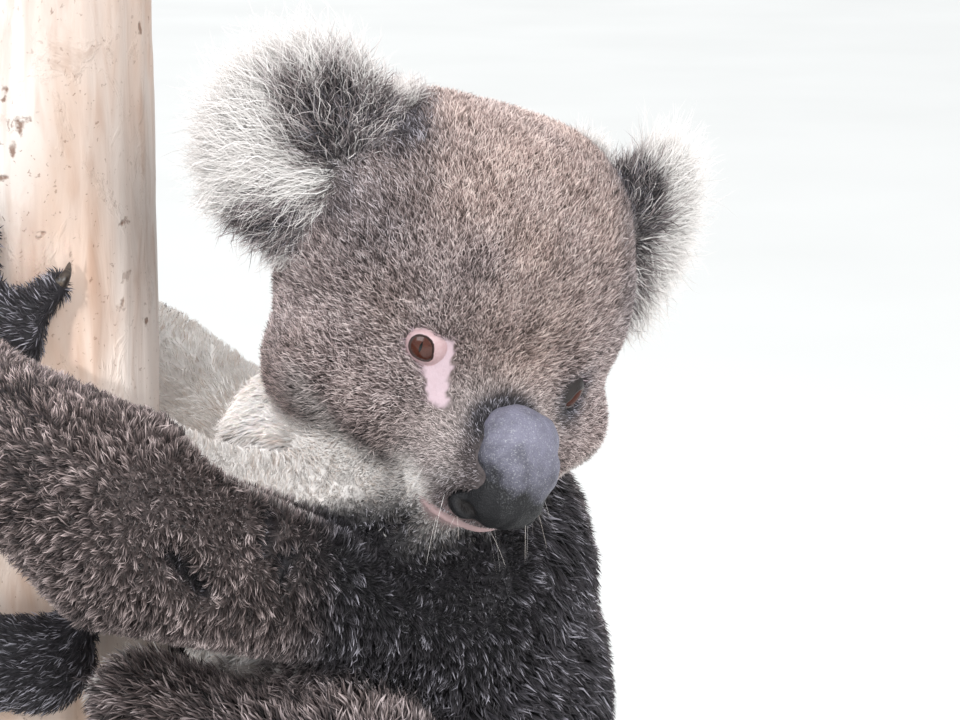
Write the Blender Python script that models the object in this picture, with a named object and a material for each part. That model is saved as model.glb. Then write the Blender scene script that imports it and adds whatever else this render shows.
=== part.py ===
"""A life-size koala clinging to a short length of gum-tree trunk, on a plain display stand.

Metres, +Z up. The origin is the middle of the stand base's underside. The trunk stands
upright at PERCH_X. The koala hugs it with its chest to the trunk (towards -X) and its back
to +X, and turns its head to its left, so that it looks out past -Y.

Each part of the body is fused from round masses, whose sizes take in the coat. Where two
parts meet, the lesser one is carved clear of the other by GAP.
"""

from math import atan2, cos, pi, radians, sin

import bmesh
import bpy
from mathutils import Matrix, Vector

GAP = 0.0003

# The stand and the trunk
BASE_SIZE = (0.40, 0.34, 0.022)
BASE_CORNER, BASE_EASING = 0.03, 0.003
ROD_RADIUS, ROD_SPREAD = 0.007, 0.024
TRUNK_RADIUS = 0.052
TRUNK_BOTTOM, TRUNK_TOP = 0.085, 0.735
TRUNK_SIDES, TRUNK_ROWS = 20, 7
PERCH_X = -0.071

# The head's own frame has its origin midway between the eyes, X to the koala's left, Y up and
# Z to the nose. Its turns start from an upright head that faces -Y.
EYES_MIDDLE = Vector((0.115, -0.100, 0.5785))
HEAD_RISE, HEAD_ROLL, HEAD_PITCH, HEAD_YAW = radians(12), radians(20), radians(12), radians(31)
EAR_SWING, EAR_LEAN = radians(31), radians(12)
EYE_RADIUS = 0.0085
EYE_SPOT = Vector((0.0295, 0.0, -0.0030))
EYE_LIFT = {-1: -0.0034, 1: 0.0012}

# How coarse the fused shapes are, how often they are smoothed, and how many triangles each keeps
BODY_VOXEL, HAND_VOXEL, NOSE_VOXEL = 0.004, 0.0022, 0.0014
HEAD_BLEND, BODY_BLEND, HAND_BLEND = 10, 8, 3
HEAD_FACES, TORSO_FACES, NECK_FACES, ARM_FACES, LEG_FACES = 1040, 640, 140, 300, 300
HAND_FACES, FOOT_FACES, EAR_FACES, NOSE_FACES = 230, 210, 190, 180

# Faces that lie this near to one plane are joined, so a cutter is swollen by more than the gap
FLATNESS = radians(3)
CARVE_CLEARANCE = 1.35

# The trunk's sides swell a little past its radius, so what lies on the bark keeps outside BARK_REACH
BARK_REACH = 1.025

# A claw's root and tip radii, how far it arches off the bark and how high its tip stays
CLAW_ROOT, CLAW_TIP = 0.0036, 0.0006
CLAW_ARCH, CLAW_TIP_LIFT = 0.0045, 0.0016
CLAW_STEPS = 3

DIGIT_STEPS = 4
DIGIT_KNUCKLE = 0.002

FUR_COLOUR = (0.20, 0.165, 0.145)
CLAW_COLOUR = (0.03, 0.025, 0.022)
NOSE_COLOUR = (0.05, 0.05, 0.05)
EYE_COLOUR = (0.09, 0.035, 0.015)
BARK_COLOUR = (0.62, 0.53, 0.44)
BOARD_COLOUR = (0.045, 0.035, 0.03)
STEEL_COLOUR = (0.35, 0.35, 0.36)

LEFT, RIGHT = -1, 1
SIDE_NAMES = {LEFT: "left", RIGHT: "right"}


def material(name, colour, roughness=0.9, metallic=0.0):
    """A Principled material, made once."""
    found = bpy.data.materials.get(name)
    if found:
        return found
    made = bpy.data.materials.new(name)
    made.use_nodes = True
    shader = made.node_tree.nodes["Principled BSDF"]
    shader.inputs["Base Color"].default_value = (*colour, 1)
    shader.inputs["Roughness"].default_value = roughness
    shader.inputs["Metallic"].default_value = metallic
    return made


def fur():
    return material("grey_fur", FUR_COLOUR)


def add_object(name, bm, finish):
    """A new object that holds bm, which is freed."""
    mesh = bpy.data.meshes.new(name)
    bm.to_mesh(mesh)
    bm.free()
    mesh.materials.append(finish)
    made = bpy.data.objects.new(name, mesh)
    bpy.context.scene.collection.objects.link(made)
    return made


def settle(obj):
    """Makes obj's mesh what its modifiers give."""
    graph = bpy.context.evaluated_depsgraph_get()
    mesh = bpy.data.meshes.new_from_object(obj.evaluated_get(graph))
    obj.modifiers.clear()
    obj.data = mesh


def keep_largest(bm):
    """Drops every loose part of bm but the one with most vertices."""
    seen, groups = set(), []
    for start in bm.verts:
        if start in seen:
            continue
        group, front = {start}, [start]
        while front:
            for edge in front.pop().link_edges:
                fresh = [vertex for vertex in edge.verts if vertex not in group]
                group.update(fresh)
                front.extend(fresh)
        seen |= group
        groups.append(group)
    groups.sort(key=len)
    for group in groups[:-1]:
        bmesh.ops.delete(bm, geom=list(group), context="VERTS")


# ---------------------------------------------------------------- masses and cuts


def ball(bm, centre, radii, turn=Matrix.Identity(3)):
    """Adds an ellipsoid of flesh."""
    place = Matrix.Translation(centre) @ turn.to_4x4() @ Matrix.Diagonal((*radii, 1))
    bmesh.ops.create_icosphere(bm, subdivisions=4, radius=1, matrix=place)


def limb(bm, stations):
    """Adds a round limb through (centre, radius) stations."""
    for centre, radius in stations:
        ball(bm, centre, (radius,) * 3)
    for (start, thick), (end, thin) in zip(stations, stations[1:]):
        along = Vector(end) - Vector(start)
        middle = (Vector(end) + Vector(start)) / 2
        place = Matrix.Translation(middle) @ along.to_track_quat("Z", "Y").to_matrix().to_4x4()
        bmesh.ops.create_cone(
            bm, cap_ends=True, segments=28, radius1=thick, radius2=thin, depth=along.length, matrix=place
        )


def fuse(name, bm, voxel, blend, faces, finish):
    """One smooth closed body from the overlapping masses in bm, with about that many triangles."""
    made = add_object(name, bm, finish)
    remesh = made.modifiers.new("Fuse", "REMESH")
    remesh.mode = "VOXEL"
    remesh.voxel_size = voxel
    smooth = made.modifiers.new("Blend", "SMOOTH")
    smooth.factor = 0.5
    smooth.iterations = blend
    settle(made)
    fine = sum(len(face.vertices) - 2 for face in made.data.polygons)
    thin = made.modifiers.new("Thin", "DECIMATE")
    thin.ratio = min(1.0, faces / fine)
    settle(made)
    made.data.shade_smooth()
    return made


def carve(obj, *others):
    """Cuts the others' space out of obj, with the gap round them."""
    for other in others:
        cutter = other.copy()
        cutter.data = other.data.copy()
        bpy.context.scene.collection.objects.link(cutter)
        swell = cutter.modifiers.new("Gap", "DISPLACE")
        swell.mid_level = 0
        swell.strength = GAP * CARVE_CLEARANCE
        settle(cutter)
        cut = obj.modifiers.new("Clear", "BOOLEAN")
        cut.operation = "DIFFERENCE"
        cut.solver = "EXACT"
        cut.object = cutter
        settle(obj)
        bpy.data.objects.remove(cutter)
    tidy(obj)


def tidy(obj):
    """Leaves one closed body of triangles with no slivers."""
    bm = bmesh.new()
    bm.from_mesh(obj.data)
    bmesh.ops.remove_doubles(bm, verts=bm.verts[:], dist=GAP / 6)
    bmesh.ops.dissolve_limit(bm, angle_limit=FLATNESS, verts=bm.verts[:], edges=bm.edges[:])
    bmesh.ops.triangulate(bm, faces=bm.faces[:])
    keep_largest(bm)
    bm.to_mesh(obj.data)
    bm.free()
    obj.data.shade_smooth()


def part_at(obj, point, normal, far_name):
    """Cuts obj in two at a plane. What lies on the normal's side becomes a new object."""
    far = obj.copy()
    far.data = obj.data.copy()
    far.name = far_name
    bpy.context.scene.collection.objects.link(far)
    for piece, side in ((obj, 1), (far, -1)):
        bm = bmesh.new()
        bm.from_mesh(piece.data)
        everything = bm.verts[:] + bm.edges[:] + bm.faces[:]
        cut = {"plane_co": Vector(point) - normal * (side * GAP / 2), "plane_no": normal * side}
        bmesh.ops.bisect_plane(bm, geom=everything, clear_outer=True, **cut)
        bmesh.ops.holes_fill(bm, edges=[edge for edge in bm.edges if edge.is_boundary], sides=0)
        bmesh.ops.triangulate(bm, faces=bm.faces[:])
        keep_largest(bm)
        bmesh.ops.recalc_face_normals(bm, faces=bm.faces[:])
        bm.to_mesh(piece.data)
        bm.free()
        piece.data.shade_smooth()
    return far


# ---------------------------------------------------------------- stand and trunk


def stand_base():
    """A flat board with round corners and an eased upper edge."""
    long, wide, thick = BASE_SIZE
    bm = bmesh.new()
    place = Matrix.Translation((0, 0, thick / 2)) @ Matrix.Diagonal((long, wide, thick, 1))
    bmesh.ops.create_cube(bm, size=1, matrix=place)
    uprights = [edge for edge in bm.edges if abs(edge.verts[0].co.z - edge.verts[1].co.z) > thick / 2]
    bmesh.ops.bevel(bm, geom=uprights, offset=BASE_CORNER, segments=4, profile=0.5, affect="EDGES")
    rim = [edge for edge in bm.edges if all(vertex.co.z > thick / 2 for vertex in edge.verts)]
    bmesh.ops.bevel(bm, geom=rim, offset=BASE_EASING, segments=1, profile=0.5, affect="EDGES")
    add_object("stand_base", bm, material("stand_board", BOARD_COLOUR, 0.5))


def stand_rods():
    """Two short rods from the board up to the trunk's sawn foot."""
    bottom, top = BASE_SIZE[2] + GAP, TRUNK_BOTTOM - GAP
    for name, side in (("stand_rod_front", -1), ("stand_rod_back", 1)):
        bm = bmesh.new()
        place = Matrix.Translation((PERCH_X, side * ROD_SPREAD, (bottom + top) / 2))
        size = {"radius1": ROD_RADIUS, "radius2": ROD_RADIUS, "depth": top - bottom}
        bmesh.ops.create_cone(bm, cap_ends=True, segments=16, matrix=place, **size)
        add_object(name, bm, material("stand_steel", STEEL_COLOUR, 0.35, 1.0))


def perch_trunk():
    """A length of smooth gum trunk, sawn flat at both ends and slightly uneven round its sides."""
    length = TRUNK_TOP - TRUNK_BOTTOM
    bm = bmesh.new()
    place = Matrix.Translation((PERCH_X, 0, TRUNK_BOTTOM + length / 2))
    size = {"radius1": TRUNK_RADIUS, "radius2": TRUNK_RADIUS, "depth": length}
    bmesh.ops.create_cone(bm, cap_ends=True, segments=TRUNK_SIDES, matrix=place, **size)
    uprights = [edge for edge in bm.edges if abs(edge.verts[0].co.z - edge.verts[1].co.z) > length / 2]
    bmesh.ops.subdivide_edges(bm, edges=uprights, cuts=TRUNK_ROWS)
    for vertex in bm.verts:
        angle = atan2(vertex.co.y, vertex.co.x - PERCH_X)
        rise = (vertex.co.z - TRUNK_BOTTOM) / length
        swell = 1.03 - 0.04 * rise + 0.012 * sin(3 * angle + 6 * rise) + 0.008 * sin(2 * angle - 4 * rise)
        vertex.co.x = PERCH_X + (vertex.co.x - PERCH_X) * swell
        vertex.co.y *= swell
    return add_object("perch_trunk", bm, material("bark", BARK_COLOUR, 0.8))


def round_trunk(side, reach, height, out):
    """A point beside the trunk, that far out from its bark.

    Reach is in degrees, from 0 at the koala's chest to 180 on the trunk's far side.
    """
    angle = side * radians(reach)
    distance = TRUNK_RADIUS * BARK_REACH + out
    return Vector((PERCH_X + distance * cos(angle), distance * sin(angle), height))


def trunk_turn(side, reach, lean=0.0):
    """Axes at the trunk's side: X runs on round the trunk, leaning up by lean; Y points out from it."""
    angle = side * radians(reach)
    out = Vector((cos(angle), sin(angle), 0))
    onward = Vector((-sin(angle), cos(angle), 0)) * side
    along = onward * cos(lean) + Vector((0, 0, sin(lean)))
    return Matrix((along, out, along.cross(out))).transposed()


# ---------------------------------------------------------------- head

HEAD_TURN = (
    Matrix.Rotation(pi / 2 - HEAD_RISE, 3, "X")
    @ Matrix.Rotation(-HEAD_ROLL, 3, "Z")
    @ Matrix.Rotation(HEAD_PITCH, 3, "X")
    @ Matrix.Rotation(HEAD_YAW, 3, "Y")
)


def in_head(x, y, z):
    """World point of a place in the head's frame."""
    return EYES_MIDDLE + HEAD_TURN @ Vector((x, y, z))


def head():
    bm = bmesh.new()
    ball(bm, in_head(0, 0.016, -0.052), (0.071, 0.070, 0.065), HEAD_TURN)
    for side in (LEFT, RIGHT):
        ball(bm, in_head(side * 0.019, 0.036, -0.056), (0.047, 0.049, 0.052), HEAD_TURN)
        ball(bm, in_head(side * 0.053, -0.023, -0.030), (0.019, 0.021, 0.021), HEAD_TURN)
    ball(bm, in_head(0, -0.024, -0.043), (0.069, 0.045, 0.056), HEAD_TURN)
    ball(bm, in_head(0, -0.012, -0.020), (0.042, 0.036, 0.036), HEAD_TURN)
    ball(bm, in_head(0, -0.034, 0.0090), (0.0290, 0.026, 0.0305), HEAD_TURN)
    ball(bm, in_head(0, -0.0505, 0.001), (0.0225, 0.0150, 0.0265), HEAD_TURN)
    return fuse("head", bm, BODY_VOXEL * 0.75, HEAD_BLEND, HEAD_FACES, fur())


def nose():
    """The bare pad: narrow between the eyes, broad and full above the mouth."""
    bm = bmesh.new()
    ball(bm, in_head(0.0005, -0.0185, 0.0280), (0.0140, 0.0125, 0.0130), HEAD_TURN)
    ball(bm, in_head(0.0005, -0.0275, 0.0310), (0.0160, 0.0140, 0.0145), HEAD_TURN)
    ball(bm, in_head(0.0, -0.0370, 0.0310), (0.0145, 0.0150, 0.0148), HEAD_TURN)
    return fuse("nose_pad", bm, NOSE_VOXEL, HAND_BLEND, NOSE_FACES, material("nose_skin", NOSE_COLOUR, 0.5))


def eye(side):
    """An eyeball, level with the coat round it."""
    bm = bmesh.new()
    spot = in_head(-side * EYE_SPOT.x, EYE_SPOT.y + EYE_LIFT[side], EYE_SPOT.z)
    place = Matrix.Translation(spot) @ HEAD_TURN.to_4x4()
    bmesh.ops.create_uvsphere(bm, u_segments=12, v_segments=8, radius=EYE_RADIUS, matrix=place)
    return add_object(f"eye_{SIDE_NAMES[side]}", bm, material("eye", EYE_COLOUR, 0.1))


def ear(side):
    """A round ear with its fringe, hollow in front and swung back at its outer edge."""
    swing = Matrix.Rotation(-side * EAR_SWING, 3, "Y")
    turn = HEAD_TURN @ swing @ Matrix.Rotation(-side * EAR_LEAN, 3, "Z")
    centre = in_head(-side * 0.079, 0.050, -0.060)
    bm = bmesh.new()
    ball(bm, centre, (0.0455, 0.0525, 0.0205), turn)
    ball(bm, centre + turn @ Vector((side * 0.018, -0.014, -0.006)), (0.032, 0.032, 0.022), turn)
    made = fuse(f"ear_{SIDE_NAMES[side]}", bm, BODY_VOXEL * 0.75, BODY_BLEND, EAR_FACES, fur())
    bm = bmesh.new()
    ball(bm, centre + turn @ Vector((side * 0.003, -0.004, 0.033)), (0.031, 0.034, 0.020), turn)
    hollow = fuse("ear_hollow", bm, BODY_VOXEL, 1, EAR_FACES // 2, fur())
    carve(made, hollow)
    bpy.data.objects.remove(hollow)
    return made


# ---------------------------------------------------------------- body


def neck():
    bm = bmesh.new()
    ball(bm, (0.082, -0.028, 0.548), (0.060, 0.058, 0.055))
    ball(bm, (0.060, -0.030, 0.520), (0.060, 0.062, 0.050))
    return fuse("neck", bm, BODY_VOXEL, BODY_BLEND, NECK_FACES, fur())


def torso():
    """The torso, with its back arched and its belly to the trunk."""
    bm = bmesh.new()
    ball(bm, (0.070, 0.000, 0.470), (0.088, 0.104, 0.085))
    ball(bm, (0.077, 0.000, 0.420), (0.088, 0.114, 0.090))
    ball(bm, (0.080, 0.000, 0.360), (0.088, 0.120, 0.090))
    ball(bm, (0.082, 0.002, 0.305), (0.085, 0.120, 0.088))
    return fuse("torso", bm, BODY_VOXEL, BODY_BLEND, TORSO_FACES, fur())


ARMS = {
    LEFT: (
        ((0.082, -0.066, 0.486), 0.054),
        ((0.050, -0.112, 0.507), 0.040),
        ((0.015, -0.140, 0.523), 0.042),
        ((-0.014, -0.154, 0.534), 0.043),
        ((-0.038, -0.149, 0.549), 0.036),
        ((-0.062, -0.132, 0.563), 0.029),
        ((-0.086, -0.100, 0.572), 0.026),
    ),
    RIGHT: (
        ((0.020, 0.070, 0.482), 0.054),
        ((-0.010, 0.116, 0.497), 0.041),
        ((-0.045, 0.142, 0.515), 0.042),
        ((-0.070, 0.140, 0.535), 0.038),
        ((-0.090, 0.120, 0.562), 0.030),
        ((-0.100, 0.092, 0.580), 0.025),
    ),
}
LEGS = {
    LEFT: (
        ((0.090, -0.062, 0.312), 0.070),
        ((0.080, -0.098, 0.368), 0.058),
        ((0.060, -0.130, 0.420), 0.046),
        ((0.036, -0.122, 0.426), 0.038),
        ((0.004, -0.101, 0.434), 0.029),
        ((-0.020, -0.083, 0.443), 0.025),
    ),
    RIGHT: (
        ((0.085, 0.066, 0.310), 0.070),
        ((0.066, 0.102, 0.356), 0.058),
        ((0.038, 0.130, 0.400), 0.046),
        ((0.010, 0.122, 0.406), 0.038),
        ((-0.018, 0.102, 0.403), 0.030),
        ((-0.036, 0.084, 0.399), 0.026),
    ),
}
HIP_CUT, HIP_CUT_NORMAL = (0.08, 0, 0.355), Vector((0.15, 0, -1)).normalized()
ELBOW_STATION = {LEFT: 3, RIGHT: 2}
KNEE_STATION = {LEFT: 2, RIGHT: 2}


def jointed_limb(side, stations, bend, names, faces):
    """One limb, cut across its bend into an upper and a lower length."""
    upper, lower = (f"{name}_{SIDE_NAMES[side]}" for name in names)
    bm = bmesh.new()
    limb(bm, stations)
    whole = fuse(upper, bm, BODY_VOXEL, BODY_BLEND, faces, fur())
    before, at, after = (Vector(stations[index][0]) for index in (bend - 1, bend, bend + 1))
    onward = ((at - before).normalized() + (after - at).normalized()).normalized()
    return whole, part_at(whole, at, onward, lower)


# ---------------------------------------------------------------- hands, feet and claws

# A digit: its name, where it starts and ends round the trunk in degrees and above the palm in
# metres, its radius at the knuckle and at the tip, and its claw's heading in degrees above level
# and length
HAND_DIGITS = (
    ("thumb", (-8, 0.002), (-27, 0.0185), (0.0102, 0.0072), (50, 0.010)),
    ("second", (2, 0.010), (-2, 0.040), (0.0085, 0.0060), (80, 0.021)),
    ("third", (12, 0.012), (52, 0.021), (0.0080, 0.0058), (10, 0.021)),
    ("fourth", (14, 0.000), (57, 0.002), (0.0082, 0.0060), (0, 0.021)),
    ("fifth", (12, -0.012), (50, -0.018), (0.0078, 0.0056), (-10, 0.021)),
)
FOOT_DIGITS = (
    ("hallux", (-12, 0.006), (-26, 0.034), (0.0100, 0.0075), None),
    ("second", (14, 0.013), (46, 0.021), (0.0070, 0.0054), (8, 0.018)),
    ("third", (14, 0.006), (47, 0.012), (0.0070, 0.0054), (4, 0.018)),
    ("fourth", (16, -0.004), (55, -0.004), (0.0082, 0.0062), (-2, 0.018)),
    ("fifth", (14, -0.014), (50, -0.021), (0.0080, 0.0060), (-10, 0.018)),
)
PALMS = {
    ("hand", LEFT): (98, 0.581),
    ("hand", RIGHT): (108, 0.592),
    ("foot", LEFT): (84, 0.452),
    ("foot", RIGHT): (88, 0.402),
}


def claw_path(side, root, heading, length, thickness):
    """Points and radii of a claw that leaves its digit's tip and comes back down to the bark."""
    reach, height = root
    start = round_trunk(side, reach, height, thickness)
    turn = trunk_turn(side, reach, radians(heading))
    for index in range(CLAW_STEPS + 1):
        share = index / CLAW_STEPS
        spot = start + turn @ Vector((length * share, 0, 0))
        level = Vector((spot.x - PERCH_X, spot.y, 0))
        lift = thickness * (1 - share) ** 1.5 + CLAW_ARCH * sin(pi * share) + CLAW_TIP_LIFT * share
        drop = level.length - TRUNK_RADIUS * BARK_REACH - lift
        yield spot - level.normalized() * drop, CLAW_TIP + (CLAW_ROOT - CLAW_TIP) * (1 - share) ** 0.8


def claw(name, side, root, heading, length, thickness):
    """One curved claw, round in section."""
    path = bpy.data.curves.new(name, "CURVE")
    path.dimensions = "3D"
    path.bevel_depth = 1
    path.bevel_resolution = 1
    path.resolution_u = 1
    path.use_fill_caps = True
    spline = path.splines.new("POLY")
    spline.points.add(CLAW_STEPS)
    for point, (spot, radius) in zip(spline.points, claw_path(side, root, heading, length, thickness)):
        point.co = (*spot, 1)
        point.radius = radius
    swept = bpy.data.objects.new(name, path)
    bpy.context.scene.collection.objects.link(swept)
    bm = bmesh.new()
    bm.from_mesh(bpy.data.meshes.new_from_object(swept))
    bpy.data.objects.remove(swept)
    bmesh.ops.remove_doubles(bm, verts=bm.verts[:], dist=GAP / 10)
    bmesh.ops.triangulate(bm, faces=bm.faces[:])
    bmesh.ops.recalc_face_normals(bm, faces=bm.faces[:])
    solid = add_object(name, bm, material("claw_horn", CLAW_COLOUR, 0.35))
    solid.data.shade_smooth()
    return solid


def digit_path(side, reach, height, start, end, radii):
    """Centres and radii along one digit, from its knuckle to its tip."""
    for index in range(DIGIT_STEPS + 1):
        share = index / DIGIT_STEPS
        radius = radii[0] + (radii[1] - radii[0]) * share
        bearing = reach + start[0] + (end[0] - start[0]) * share
        rise = height + start[1] + (end[1] - start[1]) * share
        yield round_trunk(side, bearing, rise, radius * 0.85 + DIGIT_KNUCKLE * sin(pi * share)), radius


def paw(kind, side, digits, faces):
    """A hand or foot pressed to the bark, and its claws."""
    reach, height = PALMS[kind, side]
    bm = bmesh.new()
    for onward, thick, wide, tall in ((0, 0.0112, 0.027, 0.0215), (10, 0.0092, 0.020, 0.0205)):
        spot = round_trunk(side, reach + onward, height, thick - 0.0005)
        ball(bm, spot, (wide, thick, tall), trunk_turn(side, reach + onward))
    claws = []
    for name, start, end, radii, horn in digits:
        limb(bm, list(digit_path(side, reach, height, start, end, radii)))
        if horn is not None:
            heading, length = horn
            full_name = f"claw_{kind}_{SIDE_NAMES[side]}_{name}"
            bearing = 180 - heading if name == "thumb" else heading
            tip = (reach + end[0], height + end[1])
            claws.append(claw(full_name, side, tip, bearing, length, radii[1]))
    made = fuse(f"{kind}_{SIDE_NAMES[side]}", bm, HAND_VOXEL, HAND_BLEND, faces, fur())
    return made, claws


def main():
    for obj in list(bpy.data.objects):
        bpy.data.objects.remove(obj)
    stand_base()
    stand_rods()
    trunk = perch_trunk()
    skull, body, throat = head(), torso(), neck()
    carve(skull, eye(LEFT), eye(RIGHT), nose())
    carve(body, trunk, skull)
    hips = part_at(body, HIP_CUT, HIP_CUT_NORMAL, "rump")
    for side in (LEFT, RIGHT):
        carve(ear(side), skull, body, hips)
        hand, hand_claws = paw("hand", side, HAND_DIGITS, HAND_FACES)
        foot, foot_claws = paw("foot", side, FOOT_DIGITS, FOOT_FACES)
        carve(hand, trunk, body, *hand_claws)
        carve(foot, trunk, body, *foot_claws)
        arm_names, leg_names = ("upper_arm", "forearm"), ("thigh", "shank")
        upper_arm, forearm = jointed_limb(side, ARMS[side], ELBOW_STATION[side], arm_names, ARM_FACES)
        thigh, shank = jointed_limb(side, LEGS[side], KNEE_STATION[side], leg_names, LEG_FACES)
        carve(upper_arm, trunk, body, skull)
        carve(forearm, trunk, body, hand)
        carve(thigh, trunk, body, hips, upper_arm, forearm)
        carve(shank, trunk, body, hips, upper_arm, forearm, foot)
        carve(throat, upper_arm)
    carve(throat, skull, body, trunk)


main()
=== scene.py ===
"""A life-size museum koala that hugs a short length of gum trunk, on a plain display stand.

One closed skin runs over the whole body and lies inside the solids by the coat's depth. Over it
lie joined meshes of fine tufts, each rooted on the skin and combed along a smooth field of
directions. The same masks of cream, dark, warm and bare fur colour both, and also carry some
painted shade: under the head, on the lower cheeks, round the far eye and in the folds of the coat.
Eyes, lids, nose pad, claws and whiskers are pieces of their own, and so are the trunk and the stand.
"""

import logging
from collections.abc import Callable
from dataclasses import dataclass, field
from enum import Enum
from math import cos, pi, radians, sin, sqrt

import bmesh
import bpy
import numpy as np
from bmesh.types import BMesh, BMVert
from bpy.types import Material, Mesh, Node, NodeTree, Object
from bpy.types import NodeSocket as Socket
from mathutils import Matrix, Vector
from mathutils.bvhtree import BVHTree
from mathutils.kdtree import KDTree


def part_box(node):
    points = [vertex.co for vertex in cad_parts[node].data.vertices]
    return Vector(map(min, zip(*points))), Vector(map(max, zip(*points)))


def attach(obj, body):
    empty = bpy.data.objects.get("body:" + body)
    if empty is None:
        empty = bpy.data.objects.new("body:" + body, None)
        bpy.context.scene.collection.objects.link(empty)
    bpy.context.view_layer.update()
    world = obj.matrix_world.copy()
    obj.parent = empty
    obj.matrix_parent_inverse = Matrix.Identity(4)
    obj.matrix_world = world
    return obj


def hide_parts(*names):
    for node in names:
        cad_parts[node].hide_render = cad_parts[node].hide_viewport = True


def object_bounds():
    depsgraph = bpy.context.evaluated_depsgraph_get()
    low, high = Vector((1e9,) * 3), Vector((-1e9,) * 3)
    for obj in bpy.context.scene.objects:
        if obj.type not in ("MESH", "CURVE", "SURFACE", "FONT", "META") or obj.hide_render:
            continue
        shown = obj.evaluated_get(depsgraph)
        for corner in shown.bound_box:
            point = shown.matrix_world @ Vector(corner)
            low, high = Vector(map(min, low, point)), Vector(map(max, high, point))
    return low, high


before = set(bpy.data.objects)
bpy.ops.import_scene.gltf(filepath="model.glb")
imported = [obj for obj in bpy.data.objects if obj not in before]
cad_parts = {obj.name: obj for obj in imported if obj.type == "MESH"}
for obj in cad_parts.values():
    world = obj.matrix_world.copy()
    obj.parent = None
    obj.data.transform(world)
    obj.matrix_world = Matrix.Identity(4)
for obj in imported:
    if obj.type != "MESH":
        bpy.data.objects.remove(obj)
CAD_LOW, CAD_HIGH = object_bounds()

Array = np.ndarray
Triple = tuple[float, float, float]
Colour = Triple
Chance = np.random.Generator
Sockets = tuple[tuple[str, str], ...]
LOG = logging.getLogger("koala")

BODY = "root"
BAKE_MAP = "OFBake"
MILLIMETRE = 0.001
SIDES = {"left": 1, "right": -1}
# The share of each patch's tufts that is grown
COAT_SHARE = 1.0


# --- arrays and small helpers


def length_of(vectors: Array) -> Array:
    """The length of each vector, along the last axis."""
    return np.linalg.norm(vectors, axis=-1)


def unit(vectors: Array) -> Array:
    """Each row scaled to length one."""
    return vectors / np.maximum(length_of(vectors), 1e-12)[..., None]


def ease(values: Array, low: float, high: float) -> Array:
    """A smooth step from 0 at low to 1 at high, which may be the smaller of the two."""
    share = np.clip((values - low) / (high - low), 0, 1)
    return share * share * (3 - 2 * share)


def ripple(points: Array, wavelength: float, seed: int) -> Array:
    """A soft random field of about -1 to 1.

    Args:
        points: Places to read it at, one a row.
        wavelength: The rough distance from one swell to the next, in metres.
        seed: Which field.

    Returns:
        One value a point.
    """
    waves = 9
    rng = np.random.default_rng(seed)
    pitch = 2 * pi / wavelength * rng.uniform(0.6, 1.5, (waves, 1))
    headings = unit(rng.normal(size=(waves, 3))) * pitch
    return np.sin(points @ headings.T + rng.uniform(0, 2 * pi, waves)).sum(axis=1) / sqrt(waves)


def near(points: Array, spot: Triple, reach: float) -> Array:
    """1 at a spot, falling smoothly to 0 at its reach."""
    return ease(length_of(points - np.array(spot)), reach, 0.35 * reach)


def both(local: Array, spot: Triple, reach: float) -> Array:
    """1 at a spot of the head and at its mirror image, falling smoothly to 0 at their reach."""
    return near(local, spot, reach) + near(local, (-spot[0], *spot[1:]), reach)


def read_rows(items: bpy.types.bpy_prop_collection, key: str, width: int, kind: type = np.float32) -> Array:
    """One property of a mesh's items, one item a row."""
    found = np.empty(len(items) * width, kind)
    items.foreach_get(key, found)
    return found.reshape(-1, width)


def read_points(mesh: Mesh) -> Array:
    """A mesh's vertex places, one a row."""
    return read_rows(mesh.vertices, "co", 3).astype(float)


def write_points(mesh: Mesh, points: Array) -> None:
    """Moves a mesh's vertices."""
    mesh.vertices.foreach_set("co", points.astype(np.float32).ravel())
    mesh.update()


def write_values(mesh: Mesh, name: str, values: Array) -> None:
    """Stores one number, or one vector, for each vertex under a name that a material reads."""
    kind, key = ("FLOAT", "value") if values.ndim == 1 else ("FLOAT_VECTOR", "vector")
    layer = mesh.attributes.new(name, kind, "POINT")
    layer.data.foreach_set(key, np.ascontiguousarray(values, np.float32).ravel())


def centre_of(node: str) -> Vector:
    """The middle of a node's box."""
    low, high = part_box(node)
    return (low + high) / 2


def spot_of(node: str) -> Array:
    """The middle of a node's box, as an array."""
    return np.array(centre_of(node))


def link_object(name: str, data: bpy.types.ID) -> Object:
    """A new object in the scene that holds a mesh, a lamp or a camera."""
    made = bpy.data.objects.new(name, data)
    bpy.context.scene.collection.objects.link(made)
    return made


def object_from(name: str, bm: BMesh, smooth: bool = True) -> Object:
    """A new object from a bmesh, which is freed."""
    mesh = bpy.data.meshes.new(name)
    bm.to_mesh(mesh)
    bm.free()
    if smooth:
        mesh.shade_smooth()
    return link_object(name, mesh)


def settle(piece: Object) -> None:
    """Makes a piece's mesh what its modifiers give."""
    graph = bpy.context.evaluated_depsgraph_get()
    mesh = bpy.data.meshes.new_from_object(piece.evaluated_get(graph))
    piece.modifiers.clear()
    piece.data = mesh


def fuse(piece: Object, voxel: float, rounds: int) -> None:
    """Makes one closed mesh of a piece's overlapping shells, and smooths it."""
    remesh = piece.modifiers.new("Fuse", "REMESH")
    remesh.mode = "VOXEL"
    remesh.voxel_size = voxel
    smooth = piece.modifiers.new("Blend", "SMOOTH")
    smooth.iterations = rounds
    settle(piece)


def bridge(bm: BMesh, first: list[BMVert], second: list[BMVert], flip: bool = False) -> None:
    """Joins two closed rings of as many points with faces, turned over if asked."""
    for step in range(len(first)):
        onward = (step + 1) % len(first)
        corners = [first[step], first[onward], second[onward], second[step]]
        bm.faces.new(corners[::-1] if flip else corners)


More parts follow.
